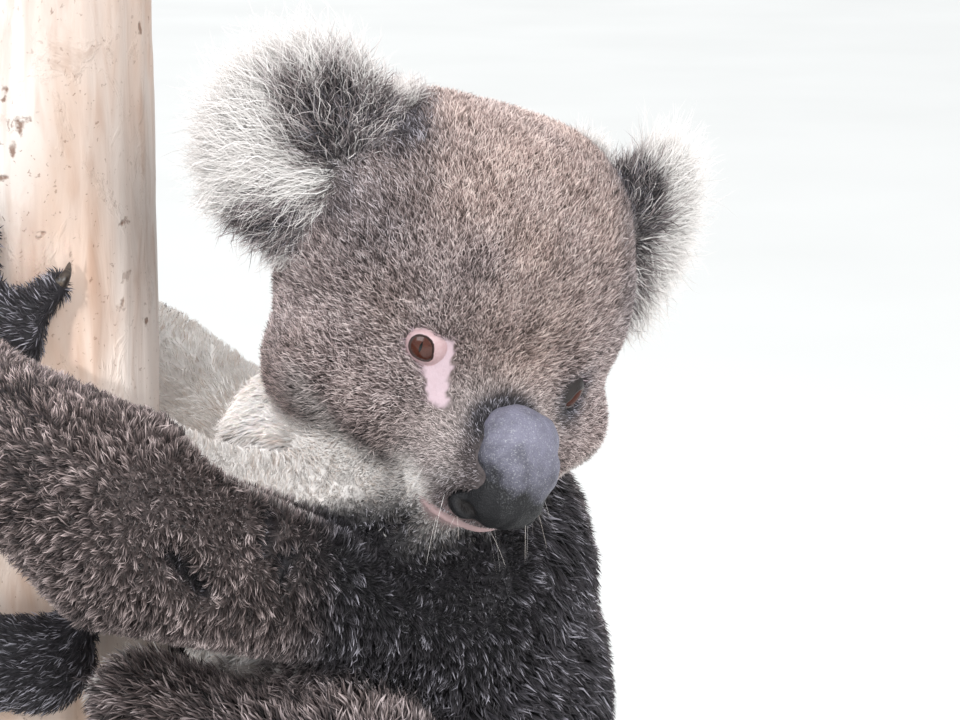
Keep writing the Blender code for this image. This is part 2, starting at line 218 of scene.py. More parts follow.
def mount_piece(piece: Object, finish: Material, slot: str, *nodes: str) -> None:
    """Dresses a finished piece, fixes it to the body and hides the nodes that it stands for.

    Args:
        piece: The piece, in place.
        finish: Its material.
        slot: Not used.
        nodes: The nodes that it replaces.
    """
    piece.data.materials.clear()
    piece.data.materials.append(finish)
    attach(piece, BODY)
    if nodes:
        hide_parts(*nodes)
    LOG.info("%s: %d vertices, %d faces", piece.name, len(piece.data.vertices), len(piece.data.polygons))


def node_bmesh(node: str) -> BMesh:
    """A welded copy of a node's mesh."""
    bm = bmesh.new()
    bm.from_mesh(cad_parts[node].data)
    bmesh.ops.remove_doubles(bm, verts=bm.verts[:], dist=0.02 * MILLIMETRE)
    return bm


def keep_largest(bm: BMesh) -> None:
    """Drops every loose part but the one with most vertices."""
    seen: set[BMVert] = set()
    groups = []
    for start in bm.verts:
        if start in seen:
            continue
        group, front = {start}, [start]
        while front:
            for edge in front.pop().link_edges:
                fresh = [vertex for vertex in edge.verts if vertex not in group]
                group.update(fresh)
                front.extend(fresh)
        seen |= group
        groups.append(group)
    groups.sort(key=len)
    for group in groups[:-1]:
        bmesh.ops.delete(bm, geom=list(group), context="VERTS")


# --- the head's own axes


@dataclass(frozen=True)
class HeadFrame:
    """The head's own axes, in metres from midway between the eyes: X to the koala's left, Y up
    and Z to the nose. The turns start from an upright head that faces -Y."""

    rise: float = radians(12)
    roll: float = radians(20)
    pitch: float = radians(12)
    yaw: float = radians(31)
    eye_offset: Triple = (0.0, -0.0011, -0.003)

    @property
    def turn(self) -> Matrix:
        """The head's axes as the columns of a rotation."""
        return (
            Matrix.Rotation(pi / 2 - self.rise, 3, "X")
            @ Matrix.Rotation(-self.roll, 3, "Z")
            @ Matrix.Rotation(self.pitch, 3, "X")
            @ Matrix.Rotation(self.yaw, 3, "Y")
        )

    @property
    def origin(self) -> Vector:
        """Midway between the eyes, level with the lids."""
        eyes = (centre_of("eye_left") + centre_of("eye_right")) / 2
        return eyes - self.turn @ Vector(self.eye_offset)

    def into(self, points: Array) -> Array:
        """World places, one a row, in the head's axes."""
        return (points - np.array(self.origin)) @ np.array(self.turn)

    def place_of(self, node: str) -> Array:
        """The middle of a node's box, in the head's axes."""
        return self.into(spot_of(node)[None])[0]

    def out_of(self, points: Array) -> Array:
        """Places in the head's axes, in the world."""
        return np.array(self.origin) + points @ np.array(self.turn).T

    def heading(self, x: float, y: float, z: float) -> Vector:
        """A direction of the head, in the world."""
        return self.turn @ Vector((x, y, z))


HEAD = HeadFrame()


# --- shader graphs


class Graph:
    """Writes nodes into a tree. A value that is a socket is linked, and any other is set."""

    def __init__(self, tree: NodeTree) -> None:
        """Writes into this tree."""
        self.tree = tree

    def put(self, socket: Socket, value: object) -> None:
        """Feeds one input."""
        if isinstance(value, Socket):
            self.tree.links.new(value, socket)
        elif isinstance(value, tuple) and socket.type == "RGBA":
            socket.default_value = (*value[:3], 1.0)
        else:
            socket.default_value = value

    def add(self, kind: str, inputs: dict | None = None, **settings: object) -> Node:
        """A new node.

        Args:
            kind: The node's type, without its ShaderNode prefix.
            inputs: Values or sockets by input name or index.
            settings: The node's own settings.

        Returns:
            The node.
        """
        node = self.tree.nodes.new("ShaderNode" + kind)
        for key, value in settings.items():
            setattr(node, key, value)
        for key, value in (inputs or {}).items():
            self.put(node.inputs[key], value)
        return node

    def math(self, operation: str, first: object, second: object = 0.5, clamp: bool = False) -> Socket:
        """One sum on numbers."""
        return self.add("Math", {0: first, 1: second}, operation=operation, use_clamp=clamp).outputs[0]

    def plus(self, first: object, second: object, clamp: bool = False) -> Socket:
        """The sum of two numbers."""
        return self.math("ADD", first, second, clamp)

    def times(self, first: object, second: object) -> Socket:
        """The product of two numbers."""
        return self.math("MULTIPLY", first, second)

    def mix(self, share: object, first: object, second: object, blend: str = "MIX") -> Socket:
        """One colour over another."""
        node = self.add("Mix", data_type="RGBA", blend_type=blend, clamp_factor=True)
        for index, value in ((0, share), (6, first), (7, second)):
            self.put(node.inputs[index], value)
        return node.outputs[2]

    def span(
        self, value: object, low: float, high: float, to_low: float = 0.0, to_high: float = 1.0
    ) -> Socket:
        """A value stretched from one range to another, low to high, and held inside it."""
        inputs = {"Value": value, "From Min": low, "From Max": high, "To Min": to_low, "To Max": to_high}
        return self.add("MapRange", inputs).outputs["Result"]

    def ramp(self, share: object, stops: tuple[tuple[float, Colour], ...]) -> Socket:
        """Colours at stops along a value.

        Args:
            share: The value.
            stops: Each stop's value and colour.

        Returns:
            The colour.
        """
        node = self.add("ValToRGB", {"Fac": share})
        elements = node.color_ramp.elements
        while len(elements) < len(stops):
            elements.new(0.5)
        for element, (place, colour) in zip(elements, stops):
            element.position = place
            element.color = (*colour, 1.0)
        return node.outputs["Color"]

    def place(self, kind: str = "Object") -> Socket:
        """The surface's own coordinates."""
        return self.add("TexCoord").outputs[kind]

    def stretch(self, vector: object, scale: Triple) -> Socket:
        """Coordinates scaled along each axis."""
        return self.add("Mapping", {"Vector": vector, "Scale": scale}).outputs["Vector"]

    def noise(
        self, vector: object, scale: object, detail: float = 2.0, rough: float = 0.5, warp: object = 0.0
    ) -> Socket:
        """Cloudy noise from 0 to 1."""
        inputs = {"Vector": vector, "Scale": scale, "Detail": detail}
        inputs |= {"Roughness": rough, "Distortion": warp}
        return self.add("TexNoise", inputs).outputs["Fac"]

    def length(self, vector: object) -> Socket:
        """How long a vector is."""
        return self.add("VectorMath", {0: vector}, operation="LENGTH").outputs["Value"]

    def cells(self, vector: object, scale: float) -> Socket:
        """The distance from each cell's middle."""
        return self.add("TexVoronoi", {"Vector": vector, "Scale": scale}).outputs["Distance"]

    def value(self, name: str) -> Socket:
        """A number stored on the mesh."""
        return self.add("Attribute", attribute_name=name).outputs["Fac"]


def shader_group(name: str, inputs: Sockets, outputs: Sockets) -> tuple[Graph, dict, dict]:
    """A new node group with named sockets.

    Args:
        name: The group's name.
        inputs: Each input's name and socket type.
        outputs: Each output's name and socket type.

    Returns:
        Its graph, its inputs as sockets by name, and the output node's inputs by name.
    """
    tree = bpy.data.node_groups.new(name, "ShaderNodeTree")
    for direction, sockets in (("INPUT", inputs), ("OUTPUT", outputs)):
        for label, kind in sockets:
            tree.interface.new_socket(label, in_out=direction, socket_type=kind)
    entry, leave = tree.nodes.new("NodeGroupInput"), tree.nodes.new("NodeGroupOutput")
    return (
        Graph(tree),
        {label: entry.outputs[label] for label, _ in inputs},
        {label: leave.inputs[label] for label, _ in outputs},
    )


def use_group(graph: Graph, tree: NodeTree, **inputs: object) -> tuple[Socket, ...]:
    """Places a node group in a graph, feeds it and returns what it puts out."""
    node = graph.tree.nodes.new("ShaderNodeGroup")
    node.node_tree = tree
    for label, value in inputs.items():
        graph.put(node.inputs[label], value)
    return tuple(node.outputs)


NUMBER, TINT, WAY = "NodeSocketFloat", "NodeSocketColor", "NodeSocketVector"


@dataclass(frozen=True)
class CoatColours:
    """The coat's colours, shared by the skin and every tuft."""

    shadow: Colour = (0.05, 0.036, 0.033)
    smoke: Colour = (0.19, 0.143, 0.137)
    grey: Colour = (0.49, 0.385, 0.372)
    pale: Colour = (0.86, 0.745, 0.725)
    umber: Colour = (0.11, 0.074, 0.058)
    tan: Colour = (0.59, 0.43, 0.385)
    gold: Colour = (0.94, 0.775, 0.69)
    brown: Colour = (0.082, 0.057, 0.052)
    dun: Colour = (0.5, 0.38, 0.355)
    soot: Colour = (0.016, 0.013, 0.016)
    charcoal: Colour = (0.042, 0.039, 0.048)
    ash: Colour = (0.42, 0.405, 0.46)
    cream: Colour = (0.79, 0.7, 0.64)
    white: Colour = (0.9, 0.875, 0.85)
    bare: Colour = (0.52, 0.405, 0.44)

    def group(self) -> NodeTree:
        """The shared effect that turns the masks into a colour."""
        found = bpy.data.node_groups.get("coat_colour")
        if found:
            return found
        masks = ("Strand", "Tuft", "Cream", "Dark", "Warm", "Brown", "Bare")
        net, given, made = shader_group(
            "coat_colour", (("Vector", WAY), *((mask, NUMBER) for mask in masks)), (("Colour", TINT),)
        )
        mottle = net.noise(given["Vector"], 70.0, 3.0, 0.6)
        speckle = net.plus(given["Tuft"], net.span(mottle, 0.3, 0.7, -0.13, 0.13), clamp=True)
        greys = ((0.0, self.shadow), (0.32, self.smoke), (0.66, self.grey), (1.0, self.pale))
        agouti = net.ramp(speckle, greys)
        golden = net.ramp(speckle, ((0.0, self.umber), (0.55, self.tan), (1.0, self.gold)))
        warmed = net.mix(given["Warm"], agouti, golden)
        deep = net.ramp(speckle, ((0.0, self.soot), (0.58, self.brown), (1.0, self.dun)))
        browned = net.mix(given["Brown"], warmed, deep)
        sooty = net.ramp(speckle, ((0.0, self.soot), (0.76, self.charcoal), (1.0, self.ash)))
        smoky = net.mix(given["Dark"], browned, sooty)
        light = net.ramp(speckle, ((0.0, self.cream), (0.45, self.white), (1.0, self.white)))
        marked = net.mix(given["Cream"], smoky, light)
        # Darker roots: partly the coat's own darker underfur, partly painted shade deep between the tufts;
        # cream fur is spared
        root = net.span(given["Strand"], 0.0, 0.8, 0.16, 1.0)
        lift = net.math("MAXIMUM", root, net.times(given["Cream"], 0.85))
        lifted = net.add("CombineColor", {0: lift, 1: lift, 2: lift}).outputs[0]
        shaded = net.mix(1.0, marked, lifted, "MULTIPLY")
        frosted = net.span(given["Strand"], 0.55, 1.0, 0.0, 0.4)
        deepest = net.math("MAXIMUM", net.times(given["Brown"], 0.55), given["Dark"], clamp=True)
        kept = net.math("SUBTRACT", 1.0, net.times(deepest, 0.85))
        bleached = net.times(net.times(frosted, speckle), kept)
        tipped = net.mix(bleached, shaded, self.pale)
        net.put(made["Colour"], net.mix(given["Bare"], tipped, self.bare))
        return net.tree


def streak_group() -> NodeTree:
    """The shared effect of long fibres, as in bark, board, horn and brushed steel."""
    found = bpy.data.node_groups.get("fibre_streaks")
    if found:
        return found
    net, given, made = shader_group(
        "fibre_streaks",
        (("Vector", WAY), ("Fineness", NUMBER), ("Warp", NUMBER)),
        (("Streaks", NUMBER), ("Clouds", NUMBER)),
    )
    place, fineness = given["Vector"], given["Fineness"]
    net.put(made["Streaks"], net.noise(place, fineness, 5.0, warp=given["Warp"]))
    net.put(made["Clouds"], net.noise(place, net.times(fineness, 0.18)))
    return net.tree


class MaterialGraph(Graph):
    """The nodes of a material with one Principled shader."""

    def __init__(self, name: str, **values: object) -> None:
        """Starts the material and sets the shader's inputs, with an underscore for a space."""
        self.made = bpy.data.materials.new(name)
        self.made.use_nodes = True
        super().__init__(self.made.node_tree)
        for label, value in values.items():
            self.feed(label.replace("_", " "), value)

    def feed(self, label: str, value: object) -> None:
        """Feeds one of the shader's inputs."""
        self.put(self.tree.nodes["Principled BSDF"].inputs[label], value)

    def relief(self, height: object, depth: float, strength: float = 1.0) -> None:
        """Feeds the shader's normal from a height, whose range of 0 to 1 is that deep in metres."""
        inputs = {"Height": height, "Distance": depth, "Strength": strength}
        self.feed("Normal", self.add("Bump", inputs).outputs["Normal"])


# --- finishes


MASKS = ("cream", "dark", "warm", "brown", "bare")


@dataclass(frozen=True)
class FurFinish:
    """Hair, coloured by the masks and by each tuft's own shade."""

    name: str = "tuft_fur"
    roughness: float = 0.62
    sheen: float = 0.12

    def material(self) -> Material:
        """The material, with a root that is darker than the tip."""
        net = MaterialGraph(
            self.name, Roughness=self.roughness, Specular_IOR_Level=0.28, Sheen_Weight=self.sheen
        )
        masks = {mask.capitalize(): net.value(mask) for mask in MASKS}
        given = {"Vector": net.place(), "Strand": net.value("strand"), "Tuft": net.value("tuft")}
        net.feed("Base Color", use_group(net, CoatColours().group(), **given, **masks)[0])
        return net.made


@dataclass(frozen=True)
class SkinFinish:
    """The hide under the coat, bare round the eyes and the lips."""

    name: str = "koala_hide"
    strand: float = 0.25
    roughness: float = 0.66
    lip: Colour = (0.44, 0.31, 0.31)
    flush: Colour = (0.86, 0.78, 0.76)

    def material(self) -> Material:
        """The material, with the coat's own markings and fine pores."""
        net = MaterialGraph(self.name, Specular_IOR_Level=0.3)
        place = net.place()
        grain = net.noise(net.stretch(place, (1.0, 1.0, 0.6)), 1400.0, 3.0, 0.65)
        masks = {mask.capitalize(): net.value(mask) for mask in MASKS}
        given = {"Vector": place, "Strand": self.strand, "Tuft": grain}
        coloured = use_group(net, CoatColours().group(), **given, **masks)[0]
        lip = net.mix(net.value("lip"), coloured, self.lip)
        flush = net.noise(place, 420.0, 3.0)
        tone = net.mix(net.span(flush, 0.4, 0.7, 0.0, 0.22), lip, self.flush, "MULTIPLY")
        net.feed("Base Color", tone)
        net.feed("Roughness", net.span(flush, 0.3, 0.7, 0.52, self.roughness))
        wrinkles = net.cells(net.stretch(place, (1.0, 1.0, 0.7)), 900.0)
        height = net.plus(grain, net.times(wrinkles, 0.6))
        net.relief(height, 0.0003, 0.55)
        return net.made


@dataclass(frozen=True)
class NoseFinish:
    """Bare slate nose leather with fine pebble grain, painted paler by light from above, nearly black
    below.
    """

    name: str = "nose_leather"
    slate: Colour = (0.0065, 0.0065, 0.008)
    # A painted bluish sheen of light from above, on the pad's upper part
    wear_and_painted_sheen: Colour = (0.188, 0.184, 0.242)
    salt: Colour = (0.48, 0.49, 0.5)
    hollow: Colour = (0.01, 0.008, 0.008)

    def material(self) -> Material:
        """The material, darker in the nostrils and paler on top under a painted bluish sheen."""
        net = MaterialGraph(self.name, Specular_IOR_Level=0.32)
        place = net.place()
        pebble = net.cells(place, 1500.0)
        cloud = net.noise(place, 110.0, 4.0, 0.6)
        speck = net.noise(place, 1500.0, 3.0, 0.8)
        # The pad's height paints light from above: the sheen pales the top, and the pale specks fade out
        # lower down
        height = net.plus(net.value("pad_height"), net.span(cloud, 0.3, 0.7, -0.22, 0.22))
        tone = net.mix(net.span(height, 0.36, 1.05), self.slate, self.wear_and_painted_sheen)
        salt = net.span(speck, 0.54, 0.7, 0.0, 0.62)
        grain = net.times(salt, net.span(height, 0.15, 0.75, 0.05, 1.0))
        salted = net.mix(grain, tone, self.salt)
        net.feed("Base Color", net.mix(net.value("nostril"), salted, self.hollow))
        net.feed("Roughness", net.span(pebble, 0.0, 0.6, 0.44, 0.6))
        relief = net.plus(net.times(pebble, -1.0), net.times(speck, 0.5))
        net.relief(relief, 0.0003, 0.75)
        return net.made


@dataclass(frozen=True)
class EyeFinish:
    """A brown eye with an upright slit pupil, under a wet clear front."""

    name: str = "brown_eye"
    iris: Colour = (0.045, 0.013, 0.009)
    amber: Colour = (0.098, 0.034, 0.022)
    rim: Colour = (0.01, 0.005, 0.004)
    iris_reach: float = 0.66
    pupil_half_width: float = 0.06
    pupil_half_height: float = 0.26
    specular: float = 0.3
    wetness: float = 0.45

    def material(self) -> Material:
        """The material. The mesh stores where each point lies in the eye's own axes."""
        net = MaterialGraph(
            self.name,
            Roughness=0.12,
            IOR=1.36,
            Specular_IOR_Level=self.specular,
            Coat_Weight=self.wetness,
            Coat_Roughness=0.03,
        )
        gaze = net.add("Attribute", attribute_name="gaze").outputs["Vector"]
        axes = net.add("SeparateXYZ", {0: gaze})
        across, up = axes.outputs["X"], axes.outputs["Y"]
        reach = net.length(net.stretch(gaze, (1.0, 1.0, 0.0)))
        angle = net.math("ARCTAN2", up, across)
        spokes = net.add("CombineXYZ", {0: net.times(angle, 6.0), 1: net.times(reach, 2.2)})
        fibres = net.noise(spokes.outputs[0], 3.2, 4.0, 0.65)
        stroma = net.mix(net.span(fibres, 0.35, 0.7), self.iris, self.amber)
        shaded = net.mix(net.span(reach, 0.25, self.iris_reach, 0.0, 0.65), stroma, self.iris)
        ring = net.span(reach, self.iris_reach - 0.1, self.iris_reach, 0.0, 1.0)
        ringed = net.mix(ring, shaded, self.rim)
        tall = net.math("DIVIDE", up, self.pupil_half_height)
        waist = net.math("SUBTRACT", 1.0, net.times(tall, tall), clamp=True)
        narrow = net.times(waist, self.pupil_half_width)
        slit = net.math("SUBTRACT", narrow, net.math("ABSOLUTE", across))
        pupil = net.span(slit, -0.012, 0.012)
        net.feed("Base Color", net.mix(pupil, ringed, (0.002, 0.002, 0.002)))
        net.relief(fibres, 0.00006, 0.25)
        return net.made


@dataclass(frozen=True)
class LidFinish:
    """The lids: a dark wet rim, and pale pink skin beyond it."""

    name: str = "eyelid_skin"
    rim: Colour = (0.03, 0.014, 0.012)
    pink: Colour = (0.5, 0.36, 0.37)
    caruncle: Colour = (0.43, 0.23, 0.235)

    def material(self) -> Material:
        """The material, from how far out each point of the lid lies."""
        net = MaterialGraph(self.name, Specular_IOR_Level=0.45)
        place, out = net.place(), net.value("lid_reach")
        flush = net.noise(place, 650.0, 3.0)
        pink = net.mix(net.span(flush, 0.35, 0.7, 0.0, 0.35), self.pink, self.caruncle)
        inner = net.mix(net.value("caruncle"), pink, self.caruncle)
        edge = net.plus(out, net.span(flush, 0.3, 0.7, -0.03, 0.03))
        net.feed("Base Color", net.mix(net.span(edge, 0.14, 0.2), self.rim, inner))
        net.feed("Roughness", net.span(out, 0.2, 0.6, 0.22, 0.6))
        net.relief(net.cells(place, 1500.0), 0.0002, 0.5)
        return net.made


@dataclass(frozen=True)
class HornFinish:
    """Dark claw horn with lengthwise streaks."""

    name: str = "claw_horn_dark"
    dark: Colour = (0.018, 0.014, 0.012)
    light: Colour = (0.11, 0.085, 0.065)

    def material(self) -> Material:
        """The material."""
        net = MaterialGraph(self.name, Specular_IOR_Level=0.55)
        streaks, clouds = use_group(net, streak_group(), Vector=net.place(), Fineness=420.0, Warp=0.6)
        tone = net.span(streaks, 0.42, 0.7)
        net.feed("Base Color", net.mix(tone, self.dark, self.light))
        net.feed("Roughness", net.span(clouds, 0.3, 0.7, 0.24, 0.46))
        net.relief(streaks, 0.0002, 0.5)
        return net.made


@dataclass(frozen=True)
class BarkFinish:
    """Smooth gum bark, cream to pink, with small scars, faint streaks and weathered patches."""

    name: str = "gum_bark"
    cream: Colour = (0.66, 0.57, 0.51)
    pink: Colour = (0.59, 0.425, 0.33)
    pale: Colour = (0.72, 0.675, 0.64)
    stain: Colour = (0.34, 0.225, 0.165)
    scar: Colour = (0.18, 0.095, 0.06)

    def material(self) -> Material:
        """The material, on the trunk's own coordinates."""
        net = MaterialGraph(self.name, Specular_IOR_Level=0.3)
        place = net.place()
        tall = net.stretch(place, (1.0, 1.0, 0.16))
        streaks, clouds = use_group(net, streak_group(), Vector=tall, Fineness=130.0, Warp=0.8)
        patches = net.noise(net.stretch(place, (1.0, 1.0, 0.35)), 18.0, 5.0, 0.6, 0.6)
        ground = net.mix(net.span(patches, 0.4, 0.62), self.cream, self.pink)
        washed = net.mix(net.span(clouds, 0.46, 0.66, 0.0, 0.9), ground, self.pale)
        fibred = net.mix(net.span(streaks, 0.5, 0.72, 0.0, 0.42), washed, self.pink, "MULTIPLY")
        blotch = net.noise(net.stretch(place, (1.0, 1.0, 0.6)), 42.0, 5.0, 0.7, 0.8)
        stained = net.mix(net.span(blotch, 0.6, 0.72, 0.0, 0.55), fibred, self.stain)
        wander = net.add("TexNoise", {"Vector": place, "Scale": 210.0, "Detail": 3.0}).outputs["Color"]
        shift = {0: wander, 1: (0.012, 0.012, 0.012), 2: place}
        bent = net.add("VectorMath", shift, operation="MULTIPLY_ADD").outputs[0]
        spots = net.cells(net.stretch(bent, (1.0, 1.0, 0.75)), 75.0)
        sparse = net.span(net.noise(place, 26.0, 2.0), 0.52, 0.6)
        scars = net.times(net.span(spots, 0.1, 0.2, 0.85, 0.0), sparse)
        dots = net.cells(net.stretch(bent, (1.3, 1.3, 0.7)), 230.0)
        dust = net.times(net.span(dots, 0.1, 0.2, 0.6, 0.0), net.span(patches, 0.42, 0.58, 0.1, 1.0))
        marked = net.mix(net.math("MAXIMUM", scars, dust), stained, self.scar)
        net.feed("Base Color", marked)
        net.feed("Roughness", net.span(clouds, 0.3, 0.7, 0.62, 0.82))
        flakes = net.times(net.span(blotch, 0.56, 0.62), 0.35)
        relief = net.math("SUBTRACT", net.plus(streaks, flakes), net.times(scars, 0.8))
        net.relief(relief, 0.0012, 0.6)
        return net.made


@dataclass(frozen=True)
class SawnFinish:
    """The trunk's sawn ends: rings, fine cracks and saw marks."""

    name: str = "sawn_gum_wood"
    light: Colour = (0.56, 0.39, 0.25)
    ring: Colour = (0.33, 0.185, 0.105)

    def material(self) -> Material:
        """The material, with rings round the trunk's axis."""
        net = MaterialGraph(self.name, Specular_IOR_Level=0.3)
        middle = centre_of("perch_trunk")
        move = {"Vector": net.place(), "Location": (-middle.x, -middle.y, 0.0)}
        place = net.add("Mapping", move).outputs["Vector"]
        flat = net.stretch(place, (1.0, 1.0, 0.0))
        warp = net.noise(flat, 30.0, 3.0)
        reach = net.length(flat)
        wobble = net.plus(reach, net.times(warp, 0.008))
        rings = net.math("SINE", net.times(wobble, 2600.0))
        grain = net.mix(net.span(rings, -0.3, 1.0, 0.0, 0.8), self.light, self.ring)
        saw = net.noise(net.stretch(place, (1.0, 0.05, 1.0)), 900.0, 2.0)
        net.feed("Base Color", net.mix(net.span(saw, 0.4, 0.7, 0.0, 0.25), grain, self.ring))
        net.feed("Roughness", net.span(saw, 0.3, 0.7, 0.65, 0.85))
        net.relief(net.plus(saw, rings), 0.0004, 0.4)
        return net.made


@dataclass(frozen=True)
class BoardFinish:
    """Dark stained hardwood with a satin finish."""

    name: str = "stained_board"
    dark: Colour = (0.035, 0.022, 0.015)
    light: Colour = (0.115, 0.068, 0.042)

    def material(self) -> Material:
        """The material, with grain along the board."""
        net = MaterialGraph(self.name, Specular_IOR_Level=0.45)
        place = net.stretch(net.place(), (0.07, 1.0, 1.0))
        streaks, clouds = use_group(net, streak_group(), Vector=place, Fineness=260.0, Warp=1.2)
        tone = net.span(streaks, 0.38, 0.68)
        wide = net.span(clouds, 0.35, 0.7, 0.0, 0.7)
        stained = net.mix(tone, self.dark, self.light)
        net.feed("Base Color", net.mix(wide, stained, self.dark))
        net.feed("Roughness", net.span(tone, 0.0, 1.0, 0.34, 0.5))
        net.relief(tone, 0.00025, 0.3)
        return net.made


@dataclass(frozen=True)
class SteelFinish:
    """Brushed steel with faint handling marks."""

    name: str = "brushed_steel"
    bright: Colour = (0.54, 0.54, 0.55)
    dull: Colour = (0.36, 0.36, 0.375)

    def material(self) -> Material:
        """The material, brushed round the rods."""
        net = MaterialGraph(self.name, Metallic=1.0)
        turned = net.stretch(net.place(), (0.2, 0.2, 6.0))
        streaks, _ = use_group(net, streak_group(), Vector=turned, Fineness=500.0, Warp=0.2)
        smudge = net.noise(net.place(), 70.0, 3.0)
        tone = net.span(smudge, 0.4, 0.7)
        net.feed("Base Color", net.mix(tone, self.bright, self.dull))
        net.feed("Roughness", net.span(streaks, 0.3, 0.7, 0.22, 0.42))
        net.relief(streaks, 0.00008, 0.4)
        return net.made


@dataclass(frozen=True)
class FloorFinish:
    """A plain pale studio floor."""

    name: str = "studio_floor"
    tone: Colour = (0.68, 0.69, 0.68)
    shade: Colour = (0.66, 0.67, 0.66)

    def material(self) -> Material:
        """The material, with the faintest unevenness."""
        net = MaterialGraph(self.name, Specular_IOR_Level=0.2)
        cloud = net.noise(net.place(), 1.6, 3.0)
        net.feed("Base Color", net.mix(net.span(cloud, 0.3, 0.7), self.tone, self.shade))
        net.feed("Roughness", net.span(cloud, 0.3, 0.7, 0.7, 0.8))
        return net.made


# --- the ears and the nose


@dataclass(frozen=True)
class EarShape:
    """One ear: where it is and which way it faces.

    Attributes:
        side: Which ear.
        middle_spot: The middle of the left ear, in the head's axes.
        swing: How far the ears swing back.
    """

    side: str
    middle_spot: Triple = (0.079, 0.05, -0.06)
    swing: float = radians(31)

    @property
    def sign(self) -> int:
        """1 for the left ear, -1 for the right."""
        return SIDES[self.side]

    @property
    def points(self) -> Array:
        """The points of the ear's solid."""
        return read_points(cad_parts[f"ear_{self.side}"].data)

    @property
    def middle(self) -> Array:
        """The middle of the ear with its fringe."""
        return HEAD.out_of(np.array([self.sign * self.middle_spot[0], *self.middle_spot[1:]]))

    @property
    def axes(self) -> Array:
        """Rows: away from the head, up, and out of the ear's front, in the world."""
        outward = HEAD.heading(self.sign * cos(self.swing), 0.0, -sin(self.swing))
        upward = HEAD.heading(0.0, 1.0, 0.0)
        return np.array([outward, upward, outward.cross(upward) * self.sign])

    @property
    def outline(self) -> tuple[Array, Array]:
        """The middle and the half size of the ear's solid, in its own axes."""
        local = self.plane(self.points)
        low, high = local.min(axis=0), local.max(axis=0)
        return (low + high) / 2, (high - low) / 2

    @property
    def root(self) -> Array:
        """Where the ear leaves the head."""
        return self.middle + np.array([-0.024, -0.01, 0.0]) @ self.axes

    def plane(self, points: Array) -> Array:
        """World places in the ear's own axes, from its middle."""
        return (points - self.middle) @ self.axes.T

    def patches(self, points: Array) -> Array:
        """How dark the ear's hair is: a sooty tuft at its root, a smaller one along its lower
        edge, and a smoky veil over the head beside it.

        Args:
            points: World places.

        Returns:
            The darkness at each place, from 0 up.
        """
        local = self.plane(points)
        local[:, 0] += 0.002 * ripple(points, 0.016, 21)
        local[:, 1] += 0.002 * ripple(points, 0.016, 22)
        if self.side == "right":
            blots = (
                ((-0.011, 0.014), (0.026, 0.023), 1.1),
                ((0.003, 0.021), (0.016, 0.011), 0.7),
                ((-0.034, 0.022), (0.017, 0.022), 0.95),
                ((-0.002, -0.035), (0.021, 0.015), 1.1),
                ((-0.024, -0.012), (0.012, 0.018), 0.65),
                ((-0.038, 0.000), (0.024, 0.038), 0.45),
            )
        else:
            blots = (
                ((-0.025, 0.017), (0.021, 0.022), 1.0),
                ((-0.012, 0.000), (0.015, 0.021), 0.9),
                ((-0.008, -0.022), (0.015, 0.02), 0.75),
                ((-0.004, -0.04), (0.015, 0.015), 0.85),
                ((-0.04, -0.004), (0.024, 0.038), 0.5),
            )
        dark = np.zeros(len(points))
        for spot, reach, strength in blots:
            apart = length_of((local[:, :2] - spot) / reach)
            dark = np.maximum(dark, ease(apart, 1.15, 0.55) * strength)
        return dark


